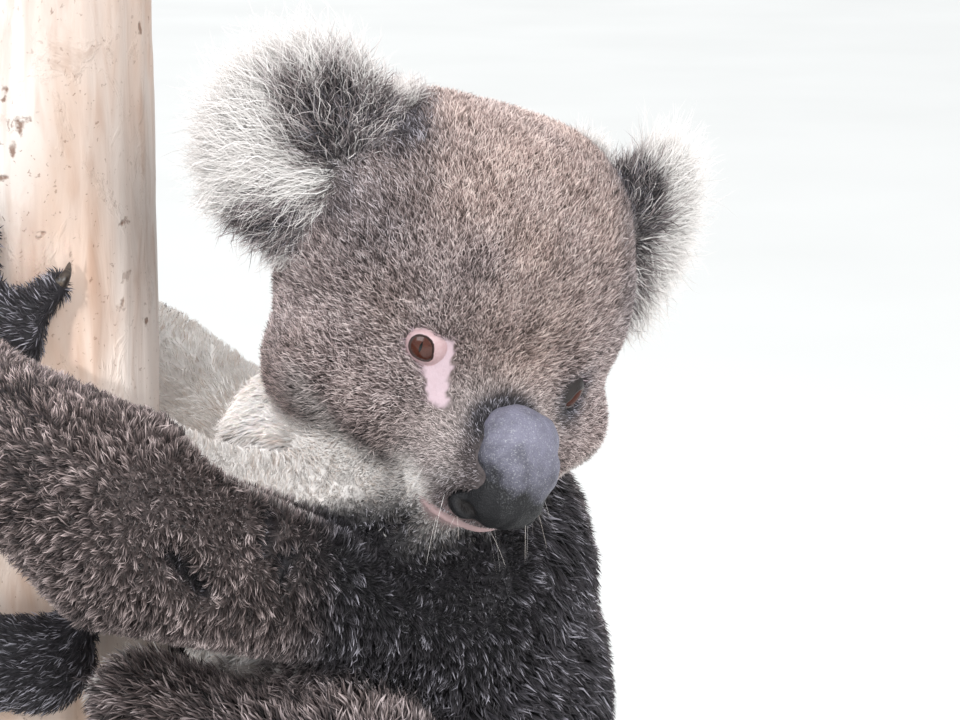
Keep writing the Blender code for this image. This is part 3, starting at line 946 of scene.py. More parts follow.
@dataclass
class Nose:
    """The bare nose pad, with its nostrils.

    Attributes:
        voxel: The mesh size.
        blend: Rounds of smoothing after the swellings are fused.
        wings: Where the left wing swells, in the head's axes, and how big each swelling is.
        nostril: Where the left nostril opens.
        nostril_radii: Half its length, breadth and depth.
        slant: How far it slants.
    """

    voxel: float = 0.00075
    blend: int = 22
    wings: tuple[tuple[Triple, float], ...] = (
        ((0.0105, -0.0455, 0.0275), 0.0062),
        ((0.0086, -0.0316, 0.03), 0.0047),
    )
    nostril: Triple = (0.0122, -0.0464, 0.0318)
    nostril_radii: Triple = (0.006, 0.0028, 0.0085)
    slant: float = 0.55
    tree: BVHTree = field(init=False)

    def build(self) -> None:
        """Swells the wings, opens the nostrils and mounts the pad."""
        bm = node_bmesh("nose_pad")
        for side in (1, -1):
            for (across, up, out), radius in self.wings:
                place = HEAD.out_of(np.array([side * across, up, out]))
                spot = Matrix.Translation(place)
                bmesh.ops.create_icosphere(bm, subdivisions=3, radius=radius, matrix=spot)
        piece = object_from("nose_leather_pad", bm)
        fuse(piece, self.voxel, self.blend)
        surface = Surface(piece.data)
        local = HEAD.into(surface.points)
        waist = np.exp(-(((local[:, 1] + 0.033) / 0.007) ** 2)) * ease(local[:, 0], -0.004, -0.012)
        local[:, 0] += 0.0024 * ease(local[:, 0], 0.002, 0.012) + 0.0016 * waist
        surface.points = HEAD.out_of(local)
        hollow = np.zeros(len(local))
        for side in (1, -1):
            spot = (side * self.nostril[0], self.nostril[1], self.nostril[2])
            lean = side * self.slant
            turn = np.array([[cos(lean), -sin(lean), 0], [sin(lean), cos(lean), 0], [0, 0, 1]])
            apart = length_of((local - spot) @ turn / self.nostril_radii)
            hollow = np.maximum(hollow, ease(apart, 1.0, 0.3))
        cleft = np.exp(-((local[:, 0] / 0.0014) ** 2)) * ease(local[:, 1], -0.034, -0.05)
        swells = 0.0002 * ripple(surface.points, 0.01, 51) + 0.00006 * ripple(surface.points, 0.003, 52)
        move = swells - 0.0026 * hollow - 0.0006 * cleft
        write_points(piece.data, surface.points + surface.normals * move[:, None])
        # How high on the pad each point lies, which the finish uses to paint light from above
        height = ease(local[:, 1] + 0.25 * local[:, 0], -0.05, -0.013)
        write_values(piece.data, "pad_height", height)
        write_values(piece.data, "nostril", ease(hollow, 0.1, 0.7))
        piece.data.shade_smooth()
        self.tree = Surface(piece.data).tree()
        mount_piece(piece, NoseFinish().material(), "nose_skin", "nose_pad")

    def distance(self, points: Array) -> Array:
        """How far each place is outside the pad.

        Args:
            points: World places.

        Returns:
            The distances, negative inside the pad and never more than 30 mm.
        """
        limit = 0.03
        middle = spot_of("nose_pad")
        found = np.full(len(points), limit)
        for index in np.nonzero(length_of(points - middle) < 0.065)[0]:
            spot, normal, _, away = self.tree.find_nearest(Vector(points[index]), limit)
            if spot is not None:
                found[index] = away if (Vector(points[index]) - spot) @ normal > 0 else -away
        return found


# --- the skin


class Region(Enum):
    """A stretch of the body with its own coat."""

    HEAD = "head"
    EAR = "ear"
    NECK = "neck"
    TORSO = "torso"
    RUMP = "rump"
    ARM = "arm"
    LEG = "leg"
    PAW = "paw"


@dataclass(frozen=True)
class CoatStyle:
    """How the coat grows on one region. Lengths are in metres.

    Attributes:
        depth: How far the skin lies inside the solid.
        length: A tuft's length.
        width: A tuft's width at its root.
        density: Tufts to the square centimetre.
        clump: How strongly tips gather into locks, from 0 to 1.
        locks: Tufts in one lock.
        unruly: How far a tuft strays from the lie of the coat.
        stand: How far a tuft may stand up, against its length.
    """

    depth: float
    length: float
    width: float
    density: float
    clump: float
    locks: int
    unruly: float
    stand: float


STYLES = {
    Region.HEAD: CoatStyle(0.0036, 0.0052, 0.00042, 275, 0.3, 4, 0.6, 0.8),
    Region.EAR: CoatStyle(0.0008, 0.009, 0.0005, 120, 0.35, 6, 0.6, 0.55),
    Region.NECK: CoatStyle(0.007, 0.015, 0.00095, 95, 0.55, 8, 0.42, 0.6),
    Region.TORSO: CoatStyle(0.0085, 0.0118, 0.00115, 66, 0.6, 9, 0.75, 0.84),
    Region.RUMP: CoatStyle(0.0085, 0.0118, 0.00115, 62, 0.6, 9, 0.75, 0.84),
    Region.ARM: CoatStyle(0.0068, 0.0057, 0.00058, 125, 0.7, 12, 1.4, 0.9),
    Region.LEG: CoatStyle(0.008, 0.0098, 0.001, 76, 0.6, 10, 0.9, 0.9),
    Region.PAW: CoatStyle(0.0022, 0.0054, 0.00056, 115, 0.35, 5, 0.34, 0.6),
}
REGIONS = tuple(Region)

# Each fleshy node, its region, and the node that its hair runs towards, beyond hanging down
FLESH: dict[str, tuple[Region, str | None]] = {
    "head": (Region.HEAD, None),
    "neck": (Region.NECK, "torso"),
    "torso": (Region.TORSO, "rump"),
    "rump": (Region.RUMP, None),
}
for _side in SIDES:
    FLESH[f"ear_{_side}"] = (Region.EAR, None)
    FLESH[f"upper_arm_{_side}"] = (Region.ARM, f"forearm_{_side}")
    FLESH[f"forearm_{_side}"] = (Region.ARM, f"hand_{_side}")
    FLESH[f"hand_{_side}"] = (Region.PAW, f"claw_hand_{_side}_fourth")
    FLESH[f"thigh_{_side}"] = (Region.LEG, f"shank_{_side}")
    FLESH[f"shank_{_side}"] = (Region.LEG, f"foot_{_side}")
    FLESH[f"foot_{_side}"] = (Region.PAW, f"claw_foot_{_side}_fourth")
NODES = tuple(FLESH)
HANG = {Region.ARM: 0.85, Region.LEG: 0.55, Region.PAW: 0.0}

# Folds in the coat of the near upper arm, each a line of world places
ARM_FOLDS = (
    ((0.0413, -0.1645, 0.5432), (0.0402, -0.1701, 0.535), (0.039, -0.1731, 0.5281)),
    ((0.0478, -0.1655, 0.5251), (0.0457, -0.1679, 0.5206), (0.0433, -0.169, 0.5145)),
    ((0.0073, -0.1896, 0.5301), (0.0126, -0.1868, 0.5205), (0.016, -0.1825, 0.5118)),
)

# Where the near shoulder's top lies lower under its coat, as world places
SHOULDER_LINE = (
    (0.03, -0.14, 0.561), (0.0527, -0.1322, 0.5495), (0.075, -0.121, 0.537),
    (0.0935, -0.1199, 0.5165), (0.1044, -0.1116, 0.5097),
)


@dataclass
class Surface:
    """A mesh's places, normals, edges and triangles as arrays."""

    mesh: Mesh
    points: Array = field(init=False)
    normals: Array = field(init=False)
    edges: Array = field(init=False)
    triangles: Array = field(init=False)

    def __post_init__(self) -> None:
        """Reads the mesh."""
        mesh = self.mesh
        self.points = read_points(mesh)
        self.normals = read_rows(mesh.vertex_normals, "vector", 3).astype(float)
        self.edges = read_rows(mesh.edges, "vertices", 2, np.int32)
        mesh.calc_loop_triangles()
        self.triangles = read_rows(mesh.loop_triangles, "vertices", 3, np.int32)

    def tree(self) -> BVHTree:
        """The surface, ready for finding the nearest place on it."""
        return BVHTree.FromPolygons(self.points.tolist(), self.triangles.tolist())

    def relax(self, values: Array, rounds: int) -> Array:
        """Spreads values from each point to its neighbours.

        Args:
            values: One row a point.
            rounds: How many times.

        Returns:
            The spread values.
        """
        count = len(self.points)
        ends = np.concatenate([self.edges, self.edges[:, ::-1]])
        shared = 1.0 / (1.0 + np.bincount(ends[:, 0], minlength=count))
        columns = values.reshape(count, -1).T.copy()
        for _ in range(rounds):
            for index, column in enumerate(columns):
                spread = np.bincount(ends[:, 0], weights=column[ends[:, 1]], minlength=count)
                columns[index] = (column + spread) * shared
        return columns.T.reshape(values.shape)


def from_line(points: Array, line: tuple) -> Array:
    """How far each place is from a line through some points."""
    found = np.full(len(points), 1.0)
    for start, end in zip(line, line[1:]):
        start, way = np.array(start), np.array(end) - np.array(start)
        share = np.clip((points - start) @ way / (way @ way), 0, 1)
        found = np.minimum(found, length_of(points - start - share[:, None] * way))
    return found


@dataclass
class Skin:
    """The whole hide as one closed mesh, with its markings and the lie of its coat.

    Attributes:
        nose: The nose pad, which the coat keeps off.
        voxel: The mesh size of the body.
        seam: How far each part is swollen, to close the gaps between parts.
        blend: Rounds of smoothing after the parts are fused.
        ear_size: The bare ear's size against that of its fringe: across, up and through.
        mouth_drop: How far the mouth's middle lies below the eyes.
        mouth_half_width: Half the mouth's width.
        bare_line: The middle of the bare patch beside the right eye, inwards and up from that eye.
    """

    nose: Nose
    voxel: float = 0.003
    seam: float = 0.0006
    blend: int = 6
    ear_size: Triple = (0.7, 0.66, 0.45)
    mouth_drop: float = 0.0555
    mouth_half_width: float = 0.0225
    bare_line: tuple[tuple[float, float], ...] = ((0.002, 0.0002), (0.0033, -0.0083), (0.006, -0.016))
    piece: Object = field(init=False)
    surface: Surface = field(init=False)
    head: Array = field(init=False)
    weights: Array = field(init=False)
    node_weights: Array = field(init=False)
    lie: Array = field(init=False)
    pad_reach: Array = field(init=False)
    folds: Array = field(init=False)
    slope: Array = field(init=False)
    outer: Array = field(init=False)
    depth: Array = field(init=False)
    masks: dict[str, Array] = field(init=False)
    tree: BVHTree = field(init=False)

    def build(self) -> None:
        """Fuses the fleshy nodes, sinks them by the coat's depth and shapes the face."""
        source, owners = self.gather()
        lookup = BVHTree.FromPolygons(*source)
        self.piece = self.join(source)
        self.refine()
        self.surface = Surface(self.piece.data)
        self.weigh(lookup, owners)
        self.folds = self.fold_depth()
        self.outer = self.surface.points.copy()
        self.slope = ease(from_line(self.surface.points, SHOULDER_LINE), 0.034, 0.012)
        self.slope *= 1 - self.share(Region.HEAD) - self.share(Region.NECK)
        self.depth = self.coat_depth()
        self.sink()
        self.shape_face()
        write_points(self.piece.data, self.surface.points)
        self.surface = Surface(self.piece.data)
        self.head = HEAD.into(self.surface.points)
        self.pad_reach = self.nose.distance(self.surface.points)
        self.comb()
        self.mark()
        self.tree = self.surface.tree()

    def gather(self) -> tuple[tuple[list, list], list[int]]:
        """All fleshy nodes in one soup of faces. The eyes and the nose fill their own sockets.

        Returns:
            Places and faces, and each face's node by its index in NODES.
        """
        points: list = []
        faces: list = []
        owners: list[int] = []
        extra = {"head": ("eye_left", "eye_right", "nose_pad")}
        for index, node in enumerate(NODES):
            for name in (node, *extra.get(node, ())):
                bm = node_bmesh(name)
                bmesh.ops.recalc_face_normals(bm, faces=bm.faces[:])
                bm.verts.index_update()
                moved = np.array([vertex.co + vertex.normal * self.seam for vertex in bm.verts])
                if name.startswith("ear"):
                    moved = self.shrink_ear(moved, EarShape(name.removeprefix("ear_")))
                base = len(points)
                points += moved.tolist()
                faces += [[base + vertex.index for vertex in face.verts] for face in bm.faces]
                owners += [index] * len(bm.faces)
                bm.free()
        return (points, faces), owners

    def shrink_ear(self, points: Array, ear: EarShape) -> Array:
        """The ear without its fringe, drawn in towards its root."""
        local = (points - ear.root) @ ear.axes.T
        return ear.root + (local * np.array(self.ear_size)) @ ear.axes

    def join(self, source: tuple[list, list]) -> Object:
        """One closed skin from the overlapping parts."""
        mesh = bpy.data.meshes.new("koala_skin")
        mesh.from_pydata(source[0], [], source[1])
        piece = link_object("koala_skin", mesh)
        fuse(piece, self.voxel, self.blend)
        bm = bmesh.new()
        bm.from_mesh(piece.data)
        keep_largest(bm)
        bm.to_mesh(piece.data)
        bm.free()
        piece.data.shade_smooth()
        return piece

    def refine(self) -> None:
        """Makes the mesh finer round the eyes, the nose and the mouth."""
        bm = bmesh.new()
        bm.from_mesh(self.piece.data)
        for reach in (0.022, 0.014):
            local = HEAD.into(np.array([vertex.co for vertex in bm.verts]))
            wanted = np.zeros(len(local), bool)
            for side in SIDES:
                eye = HEAD.place_of(f"eye_{side}")
                wanted |= length_of(local - eye - (0, -0.003, 0.004)) < reach
            mouth = np.abs(local[:, 1] + 0.052) < 0.5 * reach
            wanted |= mouth & (np.abs(local[:, 0]) < 0.027) & (local[:, 2] > 0.004)
            bm.verts.ensure_lookup_table()
            edges = [edge for edge in bm.edges if all(wanted[vertex.index] for vertex in edge.verts)]
            made = bmesh.ops.subdivide_edges(bm, edges=edges, cuts=1, use_grid_fill=True)
            fresh = [item for item in made["geom_inner"] if isinstance(item, BMVert)]
            bmesh.ops.smooth_vert(
                bm, verts=fresh, factor=0.3, use_axis_x=True, use_axis_y=True, use_axis_z=True
            )
            bm.verts.index_update()
        bmesh.ops.triangulate(bm, faces=[face for face in bm.faces if len(face.verts) > 4])
        bm.to_mesh(self.piece.data)
        bm.free()
        self.piece.data.shade_smooth()

    def weigh(self, lookup: BVHTree, owners: list[int]) -> None:
        """Works out how much each point belongs to each node and region, with soft borders.

        Args:
            lookup: The fleshy nodes' faces.
            owners: Each face's node, by its index in NODES.
        """
        surface = self.surface
        found = [owners[lookup.find_nearest(Vector(point))[2]] for point in surface.points]
        sharp = np.zeros((len(found), len(NODES)))
        sharp[np.arange(len(found)), found] = 1
        self.node_weights = surface.relax(sharp, 5)
        merge = np.zeros((len(NODES), len(REGIONS)))
        for index, node in enumerate(NODES):
            merge[index, REGIONS.index(FLESH[node][0])] = 1
        self.weights = self.node_weights @ merge

    def styled(self, name: str) -> Array:
        """One value of the coat's style at each point."""
        return self.weights @ np.array([getattr(STYLES[region], name) for region in REGIONS])

    def share(self, region: Region) -> Array:
        """How much each point belongs to a region."""
        return self.weights[:, REGIONS.index(region)]

    def node_share(self, node: str) -> Array:
        """How much each point belongs to a node."""
        return self.node_weights[:, NODES.index(node)]

    def fold_depth(self) -> Array:
        """How deep each point lies in a fold of the coat, from 0 to 1."""
        apart = np.min([from_line(self.surface.points, line) for line in ARM_FOLDS], axis=0)
        return ease(apart, 0.0056, 0.003) * self.share(Region.ARM)

    def coat_depth(self) -> Array:
        """How thick the coat is at each point: thin on the muzzle, thick on the crown."""
        local = HEAD.into(self.surface.points)
        head = self.share(Region.HEAD)
        depth = self.styled("depth") + 0.0028 * ease(local[:, 2], -0.015, -0.075) * head
        depth -= 0.0018 * near(local, (0.0, -0.035, 0.022), 0.045) * head
        return depth - 0.0012 * both(local, (0.033, 0.0, 0.002), 0.02)

    def sink(self) -> None:
        """Moves the skin inside the solids by the coat's depth, less where a paw grips the bark."""
        surface = self.surface
        axis = spot_of("perch_trunk")
        inward = unit((axis - surface.points) * (1, 1, 0))
        pressed = ease((surface.normals * inward).sum(axis=1), 0.2, 0.8) * self.share(Region.PAW)
        depth = surface.relax(self.depth * (1 - 0.9 * pressed) + 0.0135 * self.slope, 6)
        depth += surface.relax(0.0062 * self.folds, 1)
        surface.points = surface.points - surface.relax(surface.normals, 2) * depth[:, None]

    def mouth_reach(self, local: Array) -> tuple[Array, Array]:
        """How far above the mouth's line each place lies, and how surely it is on the mouth."""
        line = -self.mouth_drop + 0.0065 * np.abs(local[:, 0] / self.mouth_half_width) ** 1.6
        inside = ease(np.abs(local[:, 0]), self.mouth_half_width + 0.003, self.mouth_half_width - 0.003)
        return local[:, 1] - line, inside * ease(local[:, 2], 0.004, 0.012)

    def shape_face(self) -> None:
        """Adds the parting of the lips, fuller lips, brows and the hollows before the eyes."""
        surface = self.surface
        local = HEAD.into(surface.points)
        above, inside = self.mouth_reach(local)
        groove = np.exp(-((above / 0.0009) ** 2)) * inside
        lips = np.exp(-(((np.abs(above) - 0.0026) / 0.002) ** 2)) * inside
        move = lips * 0.0008 - groove * 0.0022
        move += 0.0012 * both(local, (0.03, 0.014, 0.004), 0.013)
        move -= 0.0008 * both(local, (0.021, -0.01, 0.012), 0.012)
        move -= 0.0042 * both(local, (0.0118, -0.0458, 0.029), 0.0085)
        surface.points = surface.points + surface.normals * move[:, None]

    def comb(self) -> None:
        """Works out which way the hair lies: from the nose over the head, out along the ears, and
        down the body and along the limbs."""
        surface = self.surface
        toward = np.zeros((len(surface.points), 3))
        down = np.array([0.0, 0.0, -1.0])
        nose = spot_of("nose_pad")
        for index, node in enumerate(NODES):
            region, onward = FLESH[node]
            if region is Region.HEAD:
                swept = unit(surface.points - nose) + 0.25 * np.array(HEAD.heading(0, 0, -1))
            elif region is Region.EAR:
                swept = unit(surface.points - EarShape(node.removeprefix("ear_")).root)
            elif onward is None:
                swept = unit(down + np.array([0.15, 0.0, 0.0]))[None]
            else:
                along = unit(spot_of(onward) - spot_of(node))
                swept = unit(along + HANG.get(region, 0.7) * down)[None]
            toward += swept * self.node_weights[:, index : index + 1]
        swirl = unit(np.cross(surface.normals, toward))
        toward = unit(toward) + swirl * (0.35 * ripple(surface.points, 0.09, 3))[:, None]
        toward -= surface.normals * (toward * surface.normals).sum(axis=1, keepdims=True)
        spread = surface.relax(unit(toward), 12)
        spread -= surface.normals * (spread * surface.normals).sum(axis=1, keepdims=True)
        self.lie = unit(spread)

    def mark(self) -> None:
        """Lays out the masks of the coat's colours and of the bare skin, with painted shade worked into
        them.
        """
        points, local, normals = self.surface.points, self.head, self.surface.normals
        head, ear, neck = (self.share(region) for region in (Region.HEAD, Region.EAR, Region.NECK))
        torso, rump, arm = (self.share(region) for region in (Region.TORSO, Region.RUMP, Region.ARM))
        leg, paw = self.share(Region.LEG), self.share(Region.PAW)
        rough, fine = ripple(points, 0.03, 5), ripple(points, 0.011, 6)
        axis = spot_of("perch_trunk")
        from_trunk = length_of((points - axis)[:, :2])
        facing = -(normals * unit((points - axis) * (1, 1, 0))).sum(axis=1)
        above, inside = self.mouth_reach(local)

        chin = ease(above + 0.0006 * rough, -0.0005, -0.0035) * ease(local[:, 2], -0.03, 0.005)
        chin *= ease(local[:, 2] + 0.001 * fine, 0.026, 0.018)
        cheek = both(local, (0.029, -0.052, 0.01), 0.019)
        throat = ease(local[:, 1] + 0.003 * rough, -0.038, -0.05) * ease(local[:, 2], 0.006, -0.008)
        front = ease(points[:, 0] + 0.01 * rough, 0.05, 0.02) * ease(points[:, 2], 0.36, 0.44)
        # The neck's cream is held a little below full, as painted shade on the chest
        chest = 0.86 * neck + torso * front
        belly = (torso + rump) * ease(from_trunk + 0.006 * rough, 0.105, 0.08)
        under = (arm + leg) * ease(facing + 0.2 * rough, 0.25, 0.75) * 0.8
        inner = self.node_share("upper_arm_right") + 0.7 * self.node_share("forearm_right")
        inner *= 1.6 * ease(0.05 * fine + 0.04 * rough - normals[:, 1], -0.5, -0.15)
        shoulder = self.node_share("upper_arm_left") * ease(normals[:, 1] + 0.1 * fine, 0.15, 0.55)
        patches = rump * ease(ripple(points, 0.06, 8) + 0.5 * fine, -0.25, 1.35) * 0.55
        nape = neck * ease(points[:, 0] + 0.008 * rough, 0.085, 0.11)
        muzzle = both(local, (0.012, -0.028, 0.026), 0.04)
        cream = head * (np.max([0.85 * chin, throat, cheek], axis=0) + 0.2 * muzzle) + chest - nape
        cream += belly + under + inner + shoulder + patches

        # Painted shade: the first mask darkens and browns the arm and torso below the head, and the next
        # paints the shadow that the head casts under the chin
        shade = ease(points[:, 0], 0.03, 0.07) * ease(points[:, 1], 0.02, -0.03)
        shade *= ease(points[:, 2], 0.565, 0.535)
        painted_chin_shadow = near(points, (0.098, -0.105, 0.5), 0.09) * (torso + arm + neck)
        # Dark fur ringing the nose pad, darkest above it, where it is also painted shade between the brow's
        # hair and the pad
        near_pad = ease(self.pad_reach, 0.0085, 0.003) * head
        upper = ease(local[:, 1] + 0.0015 * fine, -0.026, -0.016)
        dark = near_pad * (0.68 + 0.32 * upper)
        # Painted shade round the far eye, which lies in the brow's shadow
        dark = np.maximum(dark, head * near(local, (0.0335, -0.007, 0.003), 0.0165))
        dark = np.maximum(dark, head * both(local, (0.017, -0.042, 0.027), 0.0145) * 0.62)
        ears = np.zeros(len(points))
        for side, sign in SIDES.items():
            ears += EarShape(side).patches(points) * ease(sign * local[:, 0], 0.026, 0.042)
        dark = np.maximum(dark, ears * (head + ear))
        # Sooty paws and a darker coat on the arms, torso and legs, partly their own colour and partly
        # painted shade; painted shade in the folds of the arm, below the head and under the chin
        dark += paw * (1.02 + 0.06 * rough)
        dark += (arm + leg) * ease(self.wrist_reach(), 0.045, 0.02) * 0.35
        dark += 0.8 * self.folds + 0.12 * arm + 0.52 * torso + 0.3 * leg
        dark += (arm + torso) * 0.5 * shade + 0.85 * painted_chin_shadow
        ridge = np.array(SHOULDER_LINE).T
        behind = self.outer[:, 1] - np.interp(self.outer[:, 0], ridge[0], ridge[1])
        beyond = ease(behind, 0.001, 0.008) * ease(points[:, 0], 0.086, 0.074)
        beyond *= ease(from_line(self.outer, SHOULDER_LINE), 0.05, 0.035)
        cream += beyond * (arm + torso)
        dark *= 1 - 0.9 * beyond * (arm + torso)
        cream = np.maximum(cream, ear * (1 - ears) * (0.92 - 0.45 * ease(local[:, 2], -0.075, -0.09)))
        # No cream in the folds, which hold painted shade, nor on the dark ring round the pad
        cream *= (1 - self.folds) * (1 - 0.95 * near_pad)

        crown = ease(local[:, 1] + 0.006 * rough, 0.015, 0.055) * ease(np.abs(local[:, 0]), 0.062, 0.03)
        bridge = ease(local[:, 2], 0.000, 0.012) * ease(local[:, 1], -0.014, 0.006)
        warm = head * np.maximum(0.75 * crown, 0.75 * bridge) + head * 0.16 * rough
        warm += (arm + leg) * (0.1 + 0.14 * ripple(points, 0.05, 12))
        # A browner coat towards the back, partly its own colour and partly painted shade, and painted shade
        # browning the arm and torso below the head
        back = ease(points[:, 0] + 0.012 * rough, 0.075, 0.125)
        brown = (torso + rump * 0.55 + nape) * (0.45 + 0.45 * back)
        brown += (arm + leg) * (0.66 + 0.14 * ripple(points, 0.06, 13)) + (arm + torso) * shade * 0.6
        # Painted shade on the lower cheeks, browning the coat below the turn of the jaw
        painted_jowl_shade = head * ease(local[:, 1] + 0.002 * rough, -0.018, -0.04) * ease(local[:, 2], 0.02, 0.000)
        brown += painted_jowl_shade * 0.9

        bare = self.bare_patches(local)
        lip = inside * np.exp(-(((above + 0.0024) / 0.0044) ** 2)) * ease(self.pad_reach, 0.0, 0.001)
        found = {"cream": cream, "dark": dark, "warm": warm, "brown": brown, "bare": bare, "lip": lip}
        self.masks = {name: np.clip(values, 0, 1) for name, values in found.items()}

    def wrist_reach(self) -> Array:
        """How far each point is from the nearest wrist or ankle."""
        ends = [spot_of(f"{paw}_{side}") for paw in ("hand", "foot") for side in SIDES]
        return np.min([length_of(self.surface.points - end) for end in ends], axis=0)

    def bare_patches(self, local: Array) -> Array:
        """The pale bare skin round the eyes, which runs down towards the nose on the right.

        Args:
            local: Places in the head's axes.

        Returns:
            How bare each place is, from 0 to 1.
        """
        bare = np.zeros(len(local))
        for side, sign in SIDES.items():
            eye = HEAD.place_of(f"eye_{side}")
            front = eye + (sign * 0.0052, -0.0005, 0.0062)
            bare = np.maximum(bare, ease(length_of(local - front), 0.0067, 0.0058))
            if side == "right":
                ragged = 0.0007 * ripple(local, 0.004, 71)
                line = [eye[:2] + (-sign * across, up) for across, up in self.bare_line]
                ahead = ease(local[:, 2], eye[2] + 0.002, eye[2] + 0.005)
                for ends, reach in ((line[:2], 0.0052), (line[1:], 0.004)):
                    apart = from_line(local[:, :2] + ragged[:, None], tuple(ends))
                    bare = np.maximum(bare, ease(apart, reach, reach - 0.0014) * ahead)
        return bare

    def dress(self) -> None:
        """Stores the masks, unwraps the skin and mounts it."""
        for name, values in self.masks.items():
            write_values(self.piece.data, name, values)
        unwrap_piece(self.piece)
        mount_piece(self.piece, SkinFinish().material(), "grey_fur", *NODES)


def unwrap_piece(piece: Object) -> None:
    """Unwraps a piece's own shape into the map that bakes use."""
    piece.data.uv_layers.new(name=BAKE_MAP)
    bpy.context.view_layer.objects.active = piece
    bpy.ops.object.select_all(action="DESELECT")
    piece.select_set(True)
    bpy.ops.object.mode_set(mode="EDIT")
    bpy.ops.mesh.select_all(action="SELECT")
    bpy.ops.uv.smart_project(angle_limit=radians(66), island_margin=0.003)
    bpy.ops.object.mode_set(mode="OBJECT")
    piece.select_set(False)


# --- the coat


@dataclass
class Roots:
    """Where tufts grow, by the corners of the skin's triangles and each corner's share, with
    places on the unwrap."""

    skin: Skin
    corners: Array
    shares: Array
    uv: Array

    def __post_init__(self) -> None:
        """Reads the places, the normals and the lie of the coat."""
        self.points = self.read(self.skin.surface.points)
        self.normals = unit(self.read(self.skin.surface.normals))
        self.lie = unit(self.read(self.skin.lie))

    def __len__(self) -> int:
        """How many tufts."""
        return len(self.corners)

    def read(self, values: Array) -> Array:
        """A skin value at each root."""
        return np.einsum("ij...,ij->i...", values[self.corners], self.shares)

    def leaders(self, crowd: float, rng: Chance) -> Array:
        """For each tuft the one that leads its lock, with so many tufts in a lock."""
        chosen = np.nonzero(rng.random(len(self)) < 1 / crowd)[0]
        tree = KDTree(len(chosen))
        for index, leader in enumerate(chosen):
            tree.insert(Vector(self.points[leader]), index)
        tree.balance()
        return chosen[[tree.find(Vector(point))[1] for point in self.points]]


class Strands:
    """Joined blades of hair. Each is a strip of triangles from its root to a point."""

    def __init__(
        self, name: str, paths: Array, sides: Array, widths: Array, profile: tuple[float, ...]
    ) -> None:
        """Lays the blades out.

        Args:
            name: The piece's name.
            paths: For each blade the places along it, from root to tip.
            sides: For each blade the unit direction of its width.
            widths: For each blade its full width.
            profile: The share of the width at each place but the tip.
        """
        count, steps = len(paths), paths.shape[1] - 1
        half = sides[:, None, :] * (widths[:, None] * np.array(profile)[None] / 2)[:, :, None]
        edges = np.stack([paths[:, :-1] - half, paths[:, :-1] + half], axis=2)
        corners = np.concatenate([edges.reshape(count, 2 * steps, 3), paths[:, -1:]], axis=1)
        pattern = []
        for left in range(0, 2 * steps - 2, 2):
            pattern += [(left, left + 1, left + 3), (left, left + 3, left + 2)]
        pattern.append((2 * steps - 2, 2 * steps - 1, 2 * steps))
        self.per_blade = 2 * steps + 1
        self.steps = steps
        faces = np.array(pattern)[None] + (np.arange(count) * self.per_blade)[:, None, None]
        self.faces = faces.reshape(-1, 3)
        mesh = bpy.data.meshes.new(name)
        mesh.vertices.add(corners.shape[0] * corners.shape[1])
        mesh.vertices.foreach_set("co", corners.astype(np.float32).ravel())
        mesh.loops.add(self.faces.size)
        mesh.loops.foreach_set("vertex_index", self.faces.astype(np.int32).ravel())
        mesh.polygons.add(len(self.faces))
        mesh.polygons.foreach_set("loop_start", np.arange(0, self.faces.size, 3, dtype=np.int32))
        mesh.update(calc_edges=True)
        mesh.shade_smooth()
        self.mesh = mesh
        self.along = np.append(np.repeat(np.arange(steps) / steps, 2), 1.0)
        write_values(mesh, "strand", np.tile(self.along, count))

    def store(self, name: str, values: Array) -> None:
        """Gives every point of a blade that blade's value."""
        write_values(self.mesh, name, np.repeat(values, self.per_blade, axis=0))

    def map_roots(self, uv: Array, patch: float = 0.003) -> None:
        """Gives each blade its own small patch of the bake's map, at its root."""
        across = np.append(np.tile([-0.5, 0.5], self.steps), 0.0)
        offsets = np.stack([across, self.along - 0.5], axis=1) * patch
        spots = (uv[:, None, :] + offsets[None]).reshape(-1, 2)
        layer = self.mesh.uv_layers.new(name=BAKE_MAP)
        layer.data.foreach_set("uv", np.clip(spots[self.faces.ravel()], 0, 1).astype(np.float32).ravel())

    def mount(self, finish: Material) -> None:
        """Mounts the blades as one piece of the coat."""
        mount_piece(link_object(self.mesh.name, self.mesh), finish, "grey_fur")


@dataclass(frozen=True)
class CoatPatch:
    """One piece of the coat.

    Attributes:
        name: The piece's name.
        tufts: How many tufts it has.
        regions: Whose tufts it holds.
        where: Which places it takes, from world places and head places.
    """

    name: str
    tufts: int
    regions: tuple[Region, ...]
    where: Callable[[Array, Array], Array]


def everywhere(points: Array, local: Array) -> Array:
    """Every place."""
    return np.ones(len(points), bool)


def on_side(side: int) -> Callable[[Array, Array], Array]:
    """Places on one side of the body: 1 for the far side, -1 for the near one."""
    return lambda points, local: points[:, 1] * side > 0


PATCHES = (
    CoatPatch("coat_face_right", 62000, (Region.HEAD,), lambda p, h: (h[:, 0] < 0) & (h[:, 2] > -0.052)),
    CoatPatch("coat_face_left", 52000, (Region.HEAD,), lambda p, h: (h[:, 0] >= 0) & (h[:, 2] > -0.052)),
    CoatPatch("coat_nape", 27000, (Region.HEAD,), lambda p, h: h[:, 2] <= -0.052),
    CoatPatch("coat_chest", 13000, (Region.NECK,), everywhere),
    CoatPatch("coat_back", 40000, (Region.TORSO,), everywhere),
    CoatPatch("coat_rump", 27000, (Region.RUMP,), everywhere),
    CoatPatch("coat_arm_left", 66000, (Region.ARM,), on_side(-1)),
    CoatPatch("coat_arm_right", 29000, (Region.ARM,), on_side(1)),
    CoatPatch("coat_leg_left", 30000, (Region.LEG,), on_side(-1)),
    CoatPatch("coat_leg_right", 26000, (Region.LEG,), on_side(1)),
    CoatPatch("coat_paws", 33000, (Region.PAW,), everywhere),
    CoatPatch("coat_ears", 12000, (Region.EAR,), everywhere),
)


